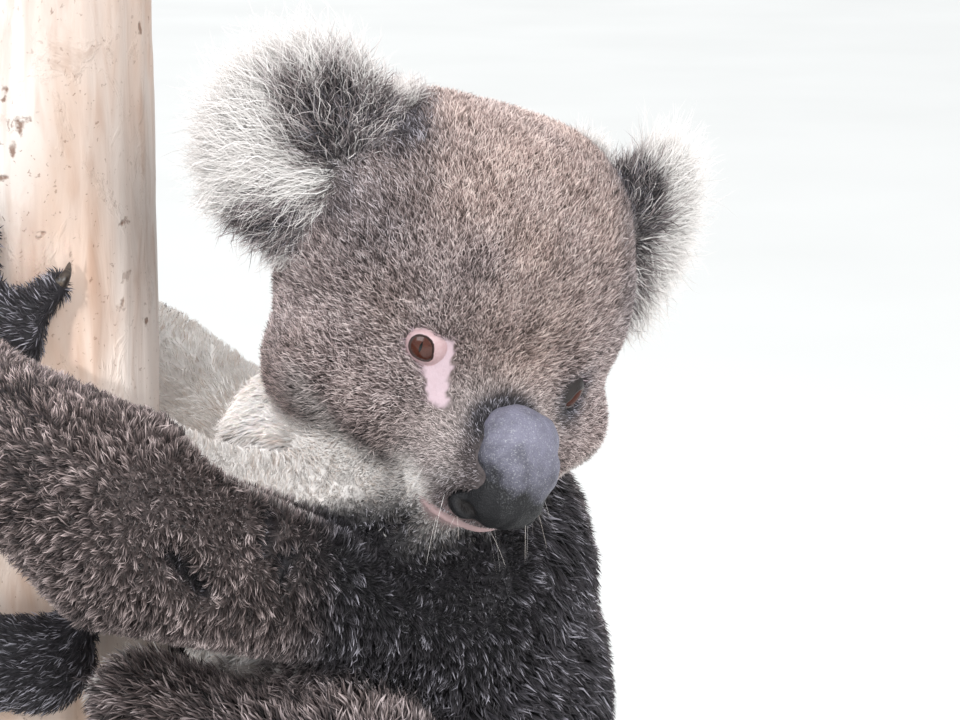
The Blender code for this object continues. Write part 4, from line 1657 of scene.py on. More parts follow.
@dataclass
class Coat:
    """All the tufts that lie over the skin.

    Attributes:
        skin: What they grow from.
        sink: How deep a root sits under the skin.
        trunk_clearance: How far a tuft keeps off the bark.
        eye_clearance: How far one keeps from the middle of an eyeball, in front of it.
    """

    skin: Skin
    sink: float = 0.0005
    trunk_clearance: float = 0.0008
    eye_clearance: float = 0.0125

    def build(self) -> None:
        """Grows every patch."""
        points = self.skin.surface.points
        main_region = np.array(self.skin.weights.argmax(axis=1))
        finish = FurFinish().material()
        for number, patch in enumerate(PATCHES):
            wanted = np.isin(main_region, [REGIONS.index(region) for region in patch.regions])
            wanted &= patch.where(points, self.skin.head)
            chosen = wanted[self.skin.surface.triangles[:, 0]]
            self.grow(patch, chosen, np.random.default_rng(100 + number), finish)

    def density(self) -> Array:
        """How thick the tufts grow at each point of the skin. None grow on bare skin or on the
        nose pad, and few in a fold."""
        skin = self.skin
        found = skin.styled("density")
        found = found * (1 - 0.98 * skin.masks["bare"]) * (1 - 0.92 * skin.masks["lip"])
        found *= ease(skin.pad_reach, 0.0004, 0.0014) * (1 - 0.45 * skin.folds)
        fine = ease(skin.head[:, 2], -0.02, 0.02) * skin.share(Region.HEAD)
        return found * (1 + 0.6 * fine)

    def sow(self, chosen: Array, tufts: int, rng: Chance) -> Roots:
        """Spreads roots evenly over some of the skin's triangles.

        Args:
            chosen: Which triangles.
            tufts: How many roots, in a full coat.
            rng: The source of chance.

        Returns:
            The roots.
        """
        skin = self.skin
        surface = skin.surface
        triangles = surface.triangles[chosen]
        first, second, third = (surface.points[triangles[:, corner]] for corner in range(3))
        area = length_of(np.cross(second - first, third - first))
        expected = np.cumsum(area * self.density()[triangles].mean(axis=1))
        count = int(tufts * COAT_SHARE)
        picks = np.searchsorted(expected, (np.arange(count) + rng.random(count)) * expected[-1] / count)
        picks = np.minimum(picks, len(triangles) - 1)
        shares = rng.random((count, 2))
        over = shares.sum(axis=1) > 1
        shares[over] = 1 - shares[over]
        shares = np.column_stack([1 - shares.sum(axis=1), shares])
        corners = triangles[picks]
        maps = self.unwrap_triangles(triangles)[picks]
        return Roots(skin, corners, shares, np.einsum("ijk,ij->ik", maps, shares))

    def unwrap_triangles(self, triangles: Array) -> Array:
        """Unwraps some of the skin's triangles on their own.

        Args:
            triangles: The points of each triangle's corners.

        Returns:
            The places of each triangle's corners on the unwrap.
        """
        used, renamed = np.unique(triangles, return_inverse=True)
        mesh = bpy.data.meshes.new("unwrap")
        mesh.from_pydata(self.skin.surface.points[used].tolist(), [], renamed.reshape(-1, 3).tolist())
        piece = link_object("unwrap", mesh)
        unwrap_piece(piece)
        spots = read_rows(mesh.uv_layers[BAKE_MAP].data, "uv", 2)
        bpy.data.objects.remove(piece)
        return spots.reshape(-1, 3, 2).astype(float)

    def grow(self, patch: CoatPatch, chosen: Array, rng: Chance, finish: Material) -> None:
        """Makes one patch's tufts.

        Args:
            patch: The patch.
            chosen: Which of the skin's triangles it grows on.
            rng: The source of chance.
            finish: The tufts' material.
        """
        skin = self.skin
        roots = self.sow(chosen, patch.tufts, rng)
        count = len(roots)
        local = HEAD.into(roots.points)
        length = roots.read(skin.styled("length")) * self.length_share(local, roots)
        length *= rng.uniform(0.7, 1.2, count) * (1 - roots.read(0.5 * skin.folds + 0.35 * skin.slope))
        depth = roots.read(skin.depth)
        across = np.cross(roots.lie, roots.normals)
        stray = rng.normal(0, 1, count) * roots.read(skin.styled("unruly"))
        heading = unit(roots.lie + across * stray[:, None])
        across = unit(np.cross(heading, roots.normals))
        rise = np.minimum(depth * rng.uniform(0.7, 1.12, count), roots.read(skin.styled("stand")) * length)
        steps = np.array([0.0, 0.5, 1.0])
        reach = np.sqrt(np.maximum(length**2 - rise**2, 0))
        lifts = 1 - (1 - steps) ** 1.6
        bend = rng.normal(0, 0.22, count) * length
        paths = roots.points[:, None] - roots.normals[:, None] * self.sink
        paths = paths + heading[:, None] * (reach[:, None] * steps)[:, :, None]
        paths = paths + roots.normals[:, None] * (rise[:, None] * lifts)[:, :, None]
        paths = paths + across[:, None] * (bend[:, None] * steps**2)[:, :, None]
        paths, shade = self.gather_locks(paths, rng.random(count), roots, rng)
        paths = self.clear_face(self.clear_trunk(paths, rng))
        roll = rng.normal(0, 0.5, count)[:, None]
        sides = unit(across * np.cos(roll) + roots.normals * np.sin(roll))
        widths = roots.read(skin.styled("width")) * self.width_share(local, roots)
        widths = widths * rng.uniform(0.7, 1.3, count)
        strands = Strands(patch.name, paths, sides, widths, (0.85, 0.8))
        strands.store("tuft", shade)
        # Tufts beside the folds of the near arm are darkened, as painted shade in the creases
        outer = roots.read(skin.outer)
        in_fold = np.min([from_line(outer, line) for line in ARM_FOLDS], axis=0)
        for name in MASKS:
            values = roots.read(skin.masks[name])
            if name == "dark":
                values = np.maximum(values, ease(in_fold, 0.0052, 0.003))
            strands.store(name, values)
        strands.map_roots(roots.uv)
        strands.mount(finish)

    def length_share(self, local: Array, roots: Roots) -> Array:
        """Shortest hair on the muzzle and round the eyes and the nose, longest behind.

        Args:
            local: The roots' places in the head's axes.
            roots: The roots.

        Returns:
            Each tuft's length against its region's own.
        """
        head = roots.read(self.skin.share(Region.HEAD))
        muzzle = near(local, (0.0, -0.036, 0.024), 0.052)
        eyes = both(local, (0.033, -0.002, 0.004), 0.022)
        back = ease(local[:, 2], -0.01, -0.07)
        pad = ease(roots.read(self.skin.pad_reach), 0.01, 0.002)
        chin = ease(self.skin.mouth_reach(local)[0], 0.001, -0.003) * ease(local[:, 2], -0.004, 0.006)
        jaw = near(local, (0.0, -0.06, 0.006), 0.034) * ease(local[:, 1], -0.048, -0.056)
        shorter = 0.42 * muzzle + 0.25 * eyes + 0.15 * pad + 0.16 * chin + 0.56 * jaw
        return 1 + head * (0.75 * back - shorter)

    def width_share(self, local: Array, roots: Roots) -> Array:
        """Finer hair on the muzzle, coarser hair on the back of the head."""
        head = roots.read(self.skin.share(Region.HEAD))
        muzzle = near(local, (0.0, -0.036, 0.024), 0.052)
        back = ease(local[:, 2], -0.02, -0.07)
        return 1 + head * (0.5 * back - 0.28 * muzzle)

    def gather_locks(
        self, paths: Array, shade: Array, roots: Roots, rng: Chance
    ) -> tuple[Array, Array]:
        """Draws neighbouring tips together into locks that share much of their shade.

        Args:
            paths: The places along each tuft.
            shade: How light each tuft is, from 0 to 1.
            roots: The tufts' roots.
            rng: The source of chance.

        Returns:
            The moved places and the shared shades.
        """
        skin = self.skin
        clump = roots.read(skin.styled("clump")) * rng.uniform(0.5, 1.0, len(roots))
        own = roots.leaders(float(np.median(roots.read(skin.styled("locks")))), rng)
        pull = clump[:, None]
        gathered = paths.copy()
        gathered[:, 2] += (paths[own, 2] - paths[:, 2]) * pull
        gathered[:, 1] += (paths[own, 1] - paths[:, 1]) * pull * 0.45
        mixed = shade * (1 - 0.75 * clump) + shade[own] * 0.75 * clump
        return gathered, np.clip(0.5 + (mixed - 0.5) * 1.25, 0, 1)

    def clear_trunk(self, paths: Array, rng: Chance) -> Array:
        """Moves whatever would pierce the bark out onto it.

        Args:
            paths: The places along each tuft.
            rng: The source of chance.

        Returns:
            The moved places.
        """
        axis = spot_of("perch_trunk")
        low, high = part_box("perch_trunk")
        radius = (high.x - low.x) / 2 + self.trunk_clearance
        offset = (paths - axis)[:, :, :2]
        reach = length_of(offset)
        wanted = radius + rng.uniform(0, 0.0015, len(paths))[:, None]
        inside = reach < wanted
        inside &= (paths[:, :, 2] < high.z) & (paths[:, :, 2] > low.z)
        factor = np.where(inside, wanted / np.maximum(reach, 1e-6), 1.0)
        moved = paths.copy()
        moved[:, :, :2] = axis[:2] + offset * factor[:, :, None]
        return moved

    def clear_face(self, paths: Array) -> Array:
        """Cuts short whatever would cross an open eye or lie over bare skin.

        Args:
            paths: The places along each tuft.

        Returns:
            The places, drawn in towards the root where cut.
        """
        crossing = np.zeros(len(paths), bool)
        for side in SIDES:
            eye = Eye(self.skin, side)
            offset = paths[:, 1:] - spot_of(f"eye_{side}")
            reach = length_of(offset)
            ahead = offset @ eye.axes[2] / reach
            crossing |= ((reach < self.eye_clearance) & (ahead > cos(eye.opening + radians(9)))).any(axis=1)
        for step in (1, 2):
            crossing |= self.skin.bare_patches(HEAD.into(paths[:, step])) > 0.45
        short = np.where(crossing, 0.2, 1.0)[:, None, None]
        return paths[:, :1] + (paths - paths[:, :1]) * short


# --- the ears' fringes


@dataclass
class EarFringe:
    """The hair of one ear: short and sooty on its dark patches, long, white and wispy elsewhere.

    Attributes:
        skin: What it grows from.
        side: Which ear.
        hairs: How many hairs.
        width: A hair's width at its root.
        spring: Where the hair fans out from, in the ear's own axes.
        crest: Where white hair also stands on the crown beside it, in the same axes.
        crest_reach: How far round that spot.
    """

    skin: Skin
    side: str
    hairs: int = 14000
    width: float = 0.00042
    spring: Triple = (-0.023, -0.004, 0.0)
    crest: Triple = (-0.022, 0.023, -0.015)
    crest_reach: float = 0.019

    def build(self) -> None:
        """Grows the hair out to the ear's outline, and some wisps beyond it."""
        rng = np.random.default_rng(31 if self.side == "left" else 32)
        ear = EarShape(self.side)
        skin = self.skin
        share = skin.node_share(f"ear_{self.side}")
        place = ear.middle + np.array(self.crest) @ ear.axes
        crest = ease(length_of(skin.surface.points - place), self.crest_reach, 0.6 * self.crest_reach)
        chosen = np.maximum(share, crest)[skin.surface.triangles].min(axis=1) > 0.08
        roots = Coat(skin).sow(chosen, self.hairs, rng)
        count = len(roots)
        fan = (ear.plane(roots.points) - self.spring) * (1.0, 1.0, 0.0)
        outward = unit(fan @ ear.axes)
        on_crest = roots.read(crest * (1 - np.minimum(share * 4, 1)))
        outward = unit(outward + np.array(HEAD.heading(0.0, 2.0, -0.4)) * on_crest[:, None])
        dark = ear.patches(roots.points + outward * 0.009) * 1.1 * (1 - on_crest)
        dark = np.clip(dark * rng.uniform(0.2, 1.2, count), 0, 1)
        light = (1 - dark)[:, None]
        lift = roots.normals * (0.75 - 0.35 * light)
        stray = 0.36 + 0.24 * (1 - light)
        heading = unit(outward + lift + rng.normal(0, 1, (count, 3)) * stray)
        curl = unit(outward - roots.normals * 0.12 * light + rng.normal(0, 1, (count, 3)) * (stray + 0.38))
        own = roots.leaders(7, rng)
        gather = rng.uniform(0.2, 0.75, count)[:, None]
        heading = unit(heading * (1 - gather) + heading[own] * gather)
        curl = unit(curl * (1 - gather) + curl[own] * gather)
        stray_hair = rng.random(count) < 0.18
        wisp = np.where(stray_hair, rng.uniform(1.08, 1.32, count), rng.uniform(0.72, 1.06, count))
        limit = self.room(ear, roots.points, heading)
        low = ease(ear.plane(roots.points)[:, 1], -0.012, -0.03) * (self.side == "left")
        limit = np.where(on_crest > 0.3, 0.013, limit * (1 + 0.45 * low)) * wisp
        wanted = rng.uniform(0.007, 0.013, count) * dark + rng.uniform(0.016, 0.04, count) * light[:, 0]
        length = np.clip(np.minimum(limit, wanted), 0.004, 0.045)
        steps = np.linspace(0, 1, 6)
        bend = steps**1.6
        along = heading[:, None] * (steps * (1 - 0.5 * bend))[None, :, None]
        along = along + curl[:, None] * (0.5 * bend * steps)[None, :, None]
        paths = roots.points[:, None] - roots.normals[:, None] * 0.0004 + along * length[:, None, None]
        pitch, start = rng.uniform(2.5, 6.5, (count, 1)), rng.uniform(0, 6.3, (count, 1))
        wave = np.sin(steps * pitch + start) * steps
        across = unit(np.cross(heading, ear.axes[2]))
        paths += across[:, None] * (wave * length[:, None] * 0.17)[:, :, None]
        roll = rng.uniform(-1.2, 1.2, count)[:, None]
        sides = unit(across * np.cos(roll) + np.cross(across, heading) * np.sin(roll))
        widths = self.width * rng.uniform(0.6, 1.2, count)
        name = f"fringe_ear_{self.side}"
        strands = Strands(name, paths, sides, widths, (0.8, 1.0, 0.9, 0.7, 0.45))
        tone = rng.random(count) * 0.6 + rng.random(count)[own] * 0.4
        strands.store("tuft", tone + (1 - tone) * 0.45 * light[:, 0])
        strands.store("cream", ease(dark, 0.55, 0.15))
        strands.store("dark", dark)
        for mask in ("warm", "brown", "bare"):
            strands.store(mask, np.zeros(count))
        strands.map_roots(roots.uv)
        strands.mount(FurFinish("ear_hair", 0.55, 0.2).material())

    def room(self, ear: EarShape, points: Array, heading: Array) -> Array:
        """How far each place is from the ear's outline, along a heading.

        Args:
            ear: The ear.
            points: World places.
            heading: The unit direction to look in from each place.

        Returns:
            The distances.
        """
        middle, radii = ear.outline
        start, way = (ear.plane(points) - middle) / radii, heading @ ear.axes.T / radii
        square, along = (way**2).sum(axis=1), (start * way).sum(axis=1)
        rest = (start**2).sum(axis=1) - 1
        return (-along + np.sqrt(np.maximum(along**2 - square * rest, 0))) / square


# --- the face's own pieces


@dataclass
class Eye:
    """One eyeball and its lids.

    Attributes:
        skin: The hide that the lids run into.
        side: Which eye.
        radius: The eyeball's radius.
        opening: The opening's half angle, seen from the eyeball's middle.
        outward: How far the eye turns from straight ahead to its own side.
        upward: How far it looks up.
        droop: How much further up the left eye looks.
        slant: How far below level the inner corner lies.
        lid_end: How far out the lid meets the face.
    """

    skin: Skin
    side: str
    radius: float = 0.0085
    opening: float = radians(25.5)
    outward: float = radians(42)
    upward: float = radians(-5)
    droop: float = radians(-8)
    slant: float = radians(42)
    lid_end: float = 0.0088
    around: int = 72
    across: int = 14

    @property
    def axes(self) -> Array:
        """Rows: the eye's right-hand side across, up, and where it looks, in the world."""
        out = SIDES[self.side] * self.outward
        rise = self.upward if self.side == "right" else self.upward + self.droop
        look = HEAD.heading(sin(out) * cos(rise), sin(rise), cos(out) * cos(rise))
        across = HEAD.heading(0, 1, 0).cross(look).normalized()
        return np.array([across, look.cross(across), look])

    def build(self) -> None:
        """Makes the eyeball and the lids."""
        self.ball()
        self.lids()

    def ball(self) -> None:
        """The eyeball, with a slightly raised clear front."""
        bm = bmesh.new()
        bmesh.ops.create_uvsphere(bm, u_segments=72, v_segments=48, radius=1.0)
        piece = object_from(f"eyeball_{self.side}", bm)
        local = read_points(piece.data)
        raised = (1 + 0.035 * ease(local[:, 2], 0.62, 0.95))[:, None]
        middle = spot_of(f"eye_{self.side}")
        write_points(piece.data, middle + (local * raised * self.radius) @ self.axes)
        write_values(piece.data, "gaze", local)
        finish = EyeFinish()
        if self.side == "left":
            finish = EyeFinish("brown_eye_shaded", specular=0.05, wetness=0.06)
        mount_piece(piece, finish.material(), "eye", f"eye_{self.side}")

    def corner(self, angles: Array) -> Array:
        """1 at the inner corner of the lids, 0 away from it."""
        inner = pi + self.slant if self.side == "left" else -self.slant
        apart = np.angle(np.exp(1j * (angles - inner)))
        return np.exp(-((apart / radians(26)) ** 2))

    def lids(self) -> None:
        """A ring of skin from inside the opening, over a rounded rim, onto the face."""
        angles = np.linspace(0, 2 * pi, self.around, endpoint=False)
        corner = self.corner(angles)
        opening = self.opening + radians(11) * corner - radians(2.5) * np.clip(np.sin(angles), 0, 1) ** 2
        centre, axes = spot_of(f"eye_{self.side}"), self.axes
        ball, rim = self.radius + 0.00005, 0.00075
        rows, reach = [], []
        for share in np.linspace(-1.0, 1.0, 7):
            turn = share * pi / 2
            angle = opening + (0.045 + 0.045 * np.sin(turn))
            radius = ball + rim * 0.5 * (1 + np.sin(turn)) * (1 - 0.35 * corner)
            rows.append(self.ring(angles, radius * np.sin(angle), radius * np.cos(angle)))
            reach.append(np.full(self.around, 0.02 + 0.04 * (share + 1)))
        start = radius * np.sin(angle)
        for share in np.linspace(0.12, 1.0, self.across - 3):
            out = start + (self.lid_end - start) * share
            dome = np.sqrt(np.maximum((ball + rim) ** 2 - np.minimum(out, ball * 0.93) ** 2, 0))
            level = np.full(self.around, share)
            face = self.face_height(centre, axes, angles, out) - 0.0004 * ease(level, 0.7, 1.0)
            blend = ease(level, 0.0, 0.85)
            over = np.sqrt(np.maximum((ball + 0.00045) ** 2 - out**2, 0)) * ease(level, 1.0, 0.9)
            rows.append(self.ring(angles, out, np.maximum(dome * (1 - blend) + face * blend, over)))
            reach.append(0.18 + 0.82 * level)
        bm = bmesh.new()
        made = [[bm.verts.new(place) for place in centre + row @ axes] for row in rows]
        for inner, outer in zip(made, made[1:]):
            bridge(bm, inner, outer)
        bmesh.ops.recalc_face_normals(bm, faces=bm.faces[:])
        bm.faces.ensure_lookup_table()
        middle = bm.faces[len(bm.faces) // 2]
        if middle.normal @ Vector(axes[2]) < 0:
            bmesh.ops.reverse_faces(bm, faces=bm.faces[:])
        piece = object_from(f"eyelids_{self.side}", bm)
        far_out = np.concatenate(reach)
        write_values(piece.data, "lid_reach", far_out)
        write_values(piece.data, "caruncle", np.tile(corner, len(rows)) * ease(far_out, 0.3, 0.12))
        finish = LidFinish()
        # The far eye's lids are a copy in painted shade, dark where the near eye's lids are pink
        if self.side == "left":
            painted_shade_caruncle, painted_shade_pink = (0.024, 0.013, 0.012), (0.014, 0.01, 0.009)
            finish = LidFinish("eyelid_skin_dark", pink=painted_shade_pink, caruncle=painted_shade_caruncle)
        mount_piece(piece, finish.material(), "grey_fur")

    def ring(self, angles: Array, across: Array, out: Array) -> Array:
        """Places round the eye's axis, in its own axes."""
        level = np.broadcast_to(out, angles.shape)
        return np.stack([np.cos(angles) * across, np.sin(angles) * across, level], axis=1)

    def face_height(self, centre: Array, axes: Array, angles: Array, across: Array) -> Array:
        """How far out along the eye's axis the skin of the face lies.

        Args:
            centre: The eyeball's middle.
            axes: The eye's own axes.
            angles: Each place's turn round the eye's axis.
            across: Each place's distance from that axis.

        Returns:
            The distances along the axis.
        """
        found = []
        for place in self.ring(angles, across, np.full(len(angles), 0.03)):
            start = Vector(centre + place @ axes)
            hit = self.skin.tree.ray_cast(start, -Vector(axes[2]), 0.06)[0]
            found.append((np.array(hit) - centre) @ axes[2] if hit else 0.0)
        return np.array(found)


@dataclass
class Claws:
    """All the claws, each a smooth curved horn."""

    def build(self) -> None:
        """Smooths each claw's facets."""
        finish = HornFinish().material()
        for node in sorted(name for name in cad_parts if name.startswith("claw_")):
            piece = object_from(f"horn_{node}", node_bmesh(node))
            rounder = piece.modifiers.new("Rounder", "SUBSURF")
            rounder.levels = rounder.render_levels = 2
            settle(piece)
            piece.data.shade_smooth()
            mount_piece(piece, finish, "claw_horn", node)


@dataclass
class Whiskers:
    """Sparse short whiskers on the muzzle and the chin, so many on each side of each place, which
    is given for the left in the head's axes."""

    skin: Skin
    count: int = 4
    width: float = 0.00013
    places: tuple[Triple, ...] = (
        (0.017, -0.046, 0.03), (0.012, -0.06, 0.022), (0.03, -0.04, 0.014),
    )
    longest: float = 0.016

    def build(self) -> None:
        """Makes the whiskers as one piece."""
        rng = np.random.default_rng(77)
        starts, headings = [], []
        for across, up, out in self.places:
            for side in (1, -1):
                for _ in range(self.count):
                    spot = np.array([side * across, up, out]) + rng.normal(0, 0.003, 3)
                    place = Vector(HEAD.out_of(spot))
                    hit, normal, _, _ = self.skin.tree.find_nearest(place)
                    down = HEAD.heading(side * 0.25, -1.0, 0.25) + Vector((0, 0, -0.6))
                    stray = Vector(rng.normal(0, 0.16, 3))
                    headings.append((down.normalized() * 0.8 + normal * 0.55 + stray).normalized())
                    starts.append(hit - normal * 0.0005)
        starts, headings = np.array(starts), np.array(headings)
        lengths = (self.longest * rng.uniform(0.5, 1.0, len(starts)))[:, None]
        steps = np.linspace(0, 1, 9)
        paths = starts[:, None] + headings[:, None] * (lengths * steps)[:, :, None]
        paths[:, :, 2] -= lengths * 0.35 * steps**2
        sides = unit(np.cross(headings, rng.normal(size=headings.shape)))
        widths = np.full(len(starts), self.width)
        strands = Strands("muzzle_whiskers", paths, sides, widths, tuple(np.linspace(1.0, 0.35, 8)))
        strands.store("tuft", rng.uniform(0.0, 0.5, len(starts)))
        for name in MASKS:
            strands.store(name, np.full(len(starts), 1.0 if name == "cream" else 0.0))
        strands.mount(FurFinish("whisker_hair", 0.4, 0.0).material())


# --- perch and stand


@dataclass
class Trunk:
    """The cut length of gum trunk: worn bark and sawn ends. Its bark has so many points round
    and rows up, and is worn back by ease_edge at the cuts."""

    around: int = 160
    tall: int = 190
    ease_edge: float = 0.0016

    def build(self) -> None:
        """Shapes the bark inside the solid trunk, then closes its ends."""
        low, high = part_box("perch_trunk")
        middle = centre_of("perch_trunk")
        outline = self.outline()
        turns = np.arange(self.around) * 2 * pi / self.around
        rise, turn = np.meshgrid(np.linspace(0, 1, self.tall), turns, indexing="ij")
        radius = outline(turn.ravel(), rise.ravel()).reshape(rise.shape)
        height = low.z + rise * (high.z - low.z)
        places = np.stack([np.cos(turn) * 0.05, np.sin(turn) * 0.05, height], axis=2).reshape(-1, 3)
        strips = ripple(places * (1, 1, 0.12), 0.016, 61).reshape(rise.shape)
        dents = ripple(places * (1, 1, 0.5), 0.045, 62).reshape(rise.shape)
        grit = ripple(places * (1, 1, 0.35), 0.006, 63).reshape(rise.shape)
        wear_and_painted_sheen = 0.0008 + 0.00028 * strips + 0.00045 * dents + 0.0001 * grit
        edge = np.minimum(height - low.z, high.z - height)
        rounding = np.exp(-((edge / 0.0012) ** 2)) * self.ease_edge * 0.5
        radius = radius - np.maximum(wear_and_painted_sheen, 0.0001) - rounding
        bm = bmesh.new()
        rows = []
        across, along = middle.x + np.cos(turn) * radius, middle.y + np.sin(turn) * radius
        for row in np.stack([across, along, height], axis=2):
            rows.append([bm.verts.new(place) for place in row])
        for below, above in zip(rows, rows[1:]):
            bridge(bm, below, above)
        ends = bmesh.new()
        for index, row in ((0, rows[0]), (-1, rows[-1])):
            self.close_end(ends, [vertex.co.copy() for vertex in row], upward=index == -1)
        mount_piece(object_from("trunk_bark", bm), BarkFinish().material(), "bark", "perch_trunk")
        mount_piece(object_from("trunk_sawn_ends", ends, smooth=False), SawnFinish().material(), "bark")

    def outline(self) -> Callable[[Array, Array], Array]:
        """The solid trunk's radius at a turn and a rise, read off its own mesh."""
        bm = node_bmesh("perch_trunk")
        tree = BVHTree.FromBMesh(bm)
        bm.free()
        low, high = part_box("perch_trunk")
        middle = centre_of("perch_trunk")

        def radius(turns: Array, rises: Array) -> Array:
            """The radius at each turn and rise."""
            found = []
            for turn, rise in zip(turns, rises):
                height = low.z + (0.001 + 0.998 * rise) * (high.z - low.z)
                start = Vector((middle.x + 0.2 * cos(turn), middle.y + 0.2 * sin(turn), height))
                hit = tree.ray_cast(start, Vector((-cos(turn), -sin(turn), 0.0)), 0.2)[0]
                found.append((hit - Vector((middle.x, middle.y, hit.z))).length)
            return np.array(found)

        return radius

    def close_end(self, bm: BMesh, rim: list[Vector], upward: bool) -> None:
        """Closes a rim with a slightly wavy sawn face, in rings of points.

        Args:
            bm: The mesh that it goes into.
            rim: The rim's places, in order.
            upward: Whether the face looks up.
        """
        middle = sum(rim, Vector()) / len(rim)
        rings = []
        for share in (1.0, 0.985, 0.93, 0.84, 0.72, 0.58, 0.43, 0.28, 0.14):
            ring = []
            for place in rim:
                spot = middle.lerp(place, share)
                drop = 0.0004 if share < 1 else 0.0
                spot.z += (-drop if upward else drop) * (1 + 0.5 * sin(spot.x * 900))
                ring.append(bm.verts.new(spot))
            rings.append(ring)
        centre = bm.verts.new(middle)
        for outer, inner in zip(rings, rings[1:]):
            bridge(bm, outer, inner, flip=not upward)
        last = rings[-1]
        for step in range(len(rim)):
            corners = [last[step], last[(step + 1) % len(rim)], centre]
            bm.faces.new(corners if upward else corners[::-1])


@dataclass
class Stand:
    """The display stand: a board with rounded corners and eased edges, and two steel rods with
    collars."""

    corner: float = 0.03
    easing: float = 0.003
    rod_sides: int = 96

    def build(self) -> None:
        """Makes the board and the rods."""
        self.board()
        finish = SteelFinish().material()
        for name in ("stand_rod_front", "stand_rod_back"):
            self.rod(name, finish)

    def board(self) -> None:
        """The board, with rounded corners and an eased top edge."""
        low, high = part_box("stand_base")
        bm = bmesh.new()
        bmesh.ops.create_cube(bm, size=1.0)
        for vertex in bm.verts:
            vertex.co = Vector([low[axis] if vertex.co[axis] < 0 else high[axis] for axis in range(3)])
        uprights = [edge for edge in bm.edges if abs(edge.verts[0].co.z - edge.verts[1].co.z) > 0.001]
        bmesh.ops.bevel(
            bm, geom=uprights, offset=self.corner, affect="EDGES", segments=12, profile=0.5, material=-1
        )
        flat = [edge for edge in bm.edges if abs(edge.verts[0].co.z - edge.verts[1].co.z) < 0.0001]
        rims = [edge for edge in flat if len(edge.link_faces) == 2 and edge.calc_face_angle(0) > 0.5]
        bmesh.ops.bevel(
            bm, geom=rims, offset=self.easing, affect="EDGES", segments=5, profile=0.5, material=-1
        )
        piece = object_from("stand_board_top", bm)
        piece.data.shade_smooth()
        self.flatten(piece)
        mount_piece(piece, BoardFinish().material(), "stand_board", "stand_base")

    def flatten(self, piece: Object) -> None:
        """Keeps the shading of flat faces flat beside their rounds."""
        keep = piece.modifiers.new("Flats", "WEIGHTED_NORMAL")
        keep.keep_sharp = True
        settle(piece)

    def rod(self, name: str, finish: Material) -> None:
        """A rod, turned on its own axis, with a low collar on the board and one under the trunk.

        Args:
            name: The rod's node.
            finish: Its material.
        """
        low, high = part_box(name)
        middle = (low + high) / 2
        radius = (high.x - low.x) / 2
        foot = ((0.0, 0.0), (0.94, 0.0), (1.0, 0.0005), (1.0, 0.006), (0.9, 0.0068))
        head = ((0.9, 0.0046), (1.0, 0.0038), (1.0, 0.0005), (0.94, 0.0), (0.0, 0.0))
        outline = [(share, low.z + rise) for share, rise in foot]
        outline += [(share, high.z - drop) for share, drop in head]
        bm = bmesh.new()
        profile = [bm.verts.new((middle.x + radius * share, middle.y, z)) for share, z in outline]
        edges = [bm.edges.new(pair) for pair in zip(profile, profile[1:])]
        bmesh.ops.spin(
            bm,
            geom=profile + edges,
            cent=middle,
            axis=(0, 0, 1),
            angle=2 * pi,
            steps=self.rod_sides,
            use_merge=True,
        )
        bmesh.ops.remove_doubles(bm, verts=bm.verts[:], dist=0.01 * MILLIMETRE)
        bmesh.ops.recalc_face_normals(bm, faces=bm.faces[:])
        piece = object_from(f"{name}_tube", bm)
        self.flatten(piece)
        mount_piece(piece, finish, "stand_steel", name)


# --- the studio


@dataclass(frozen=True)
class Lamp:
    """One soft lamp, which points at its target.

    Attributes:
        size: Its width and height.
        power: Its strength, in watts, or in watts to the square metre for a sky lamp.
        spread: How wide a sky lamp looks, or 0 for a panel.
        beam: How wide a panel's light fans out.
    """

    name: str
    place: Triple
    size: tuple[float, float]
    power: float
    colour: Colour = (1.0, 1.0, 1.0)
    target: Triple = (0.0, 0.0, 0.45)
    spread: float = 0.0
    beam: float = pi

    def hang(self) -> None:
        """Adds the lamp."""
        light = bpy.data.lights.new(self.name, "SUN" if self.spread else "AREA")
        if self.spread:
            light.angle = self.spread
        else:
            light.shape = "RECTANGLE"
            light.size, light.size_y = self.size
            light.spread = self.beam
        light.energy = self.power
        light.color = self.colour
        lamp = link_object(self.name, light)
        lamp.location = self.place
        lamp.rotation_euler = (Vector(self.target) - Vector(self.place)).to_track_quat("-Z", "Y").to_euler()


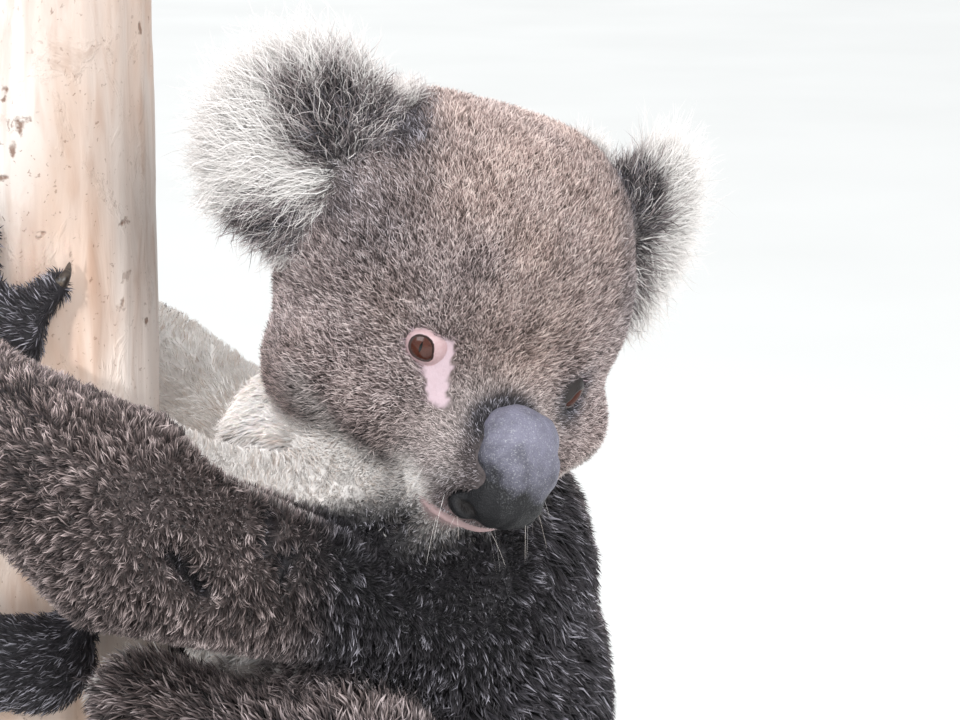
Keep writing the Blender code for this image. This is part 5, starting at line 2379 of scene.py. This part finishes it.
@dataclass
class Studio:
    """The pale floor, the soft light, and the camera, which looks down at its aim by its tilt,
    through a lens of so many millimetres."""

    aim: Triple = (0.108, -0.1, 0.58)
    distance: float = 1.0
    tilt: float = radians(12)
    lens: float = 103.125

    def build(self) -> None:
        """Sets up everything round the part."""
        self.floor()
        self.light()
        self.camera()

    def floor(self) -> None:
        """A wide floor that also fills the background."""
        bm = bmesh.new()
        bmesh.ops.create_grid(bm, x_segments=8, y_segments=8, size=14.0)
        for vertex in bm.verts:
            vertex.co.z = min(0.0, CAD_LOW.z) - 0.0002
        piece = object_from("studio_floor", bm)
        piece.data.materials.append(FloorFinish().material())

    def light(self) -> None:
        """Soft light from above and behind, with a broad cool key and a gentle fill in front."""
        sky, key, fill = (1.0, 0.99, 0.98), (0.98, 0.985, 1.0), (1.0, 0.985, 0.985)
        lamps = (
            Lamp("sky_behind", (-0.5, 1.5, 1.9), (1, 1), 3.3, sky, spread=radians(30)),
            Lamp("key_above_left", (-1.3, -1.7, 2.0), (1.6, 1.6), 40.0, key, (0.03, -0.05, 0.55)),
            Lamp("fill_front", (1.3, -2.1, 1.9), (1.7, 1.5), 58.0, fill, (0.09, -0.05, 0.62)),
            Lamp(
                "chest_glow",
                (-0.45, -1.3, 1.05),
                (0.04, 0.04),
                0.024,
                target=(-0.01, -0.03, 0.555),
                beam=radians(6),
            ),
        )
        for lamp in lamps:
            lamp.hang()
        world = bpy.data.worlds.new("pale_studio")
        world.use_nodes = True
        backdrop = world.node_tree.nodes["Background"]
        backdrop.inputs["Color"].default_value = (0.93, 0.96, 1.0, 1.0)
        backdrop.inputs["Strength"].default_value = 0.62
        bpy.context.scene.world = world
        bpy.context.scene.view_settings.view_transform = "Standard"

    def camera(self) -> None:
        """A long lens, level from side to side, that looks down a little."""
        camera = bpy.data.cameras.new("camera")
        camera.sensor_width = 36.0
        camera.lens = self.lens
        camera.clip_end = 60.0
        holder = link_object("camera", camera)
        holder.location = Vector(self.aim) + Vector((0.0, -cos(self.tilt), sin(self.tilt))) * self.distance
        holder.rotation_euler = (pi / 2 - self.tilt, 0.0, 0.0)
        bpy.context.scene.camera = holder


def main() -> None:
    """Builds the koala, its perch and stand, and the studio, in order."""
    logging.basicConfig(level=logging.INFO, format="%(message)s")
    nose = Nose()
    nose.build()
    skin = Skin(nose)
    skin.build()
    skin.dress()
    Coat(skin).build()
    for side, hairs in (("left", 11000), ("right", 16500)):
        EarFringe(skin, side, hairs).build()
        Eye(skin, side).build()
    Claws().build()
    Whiskers(skin).build()
    Trunk().build()
    Stand().build()
    Studio().build()
    bpy.context.view_layer.update()


if __name__ == "__main__":
    main()
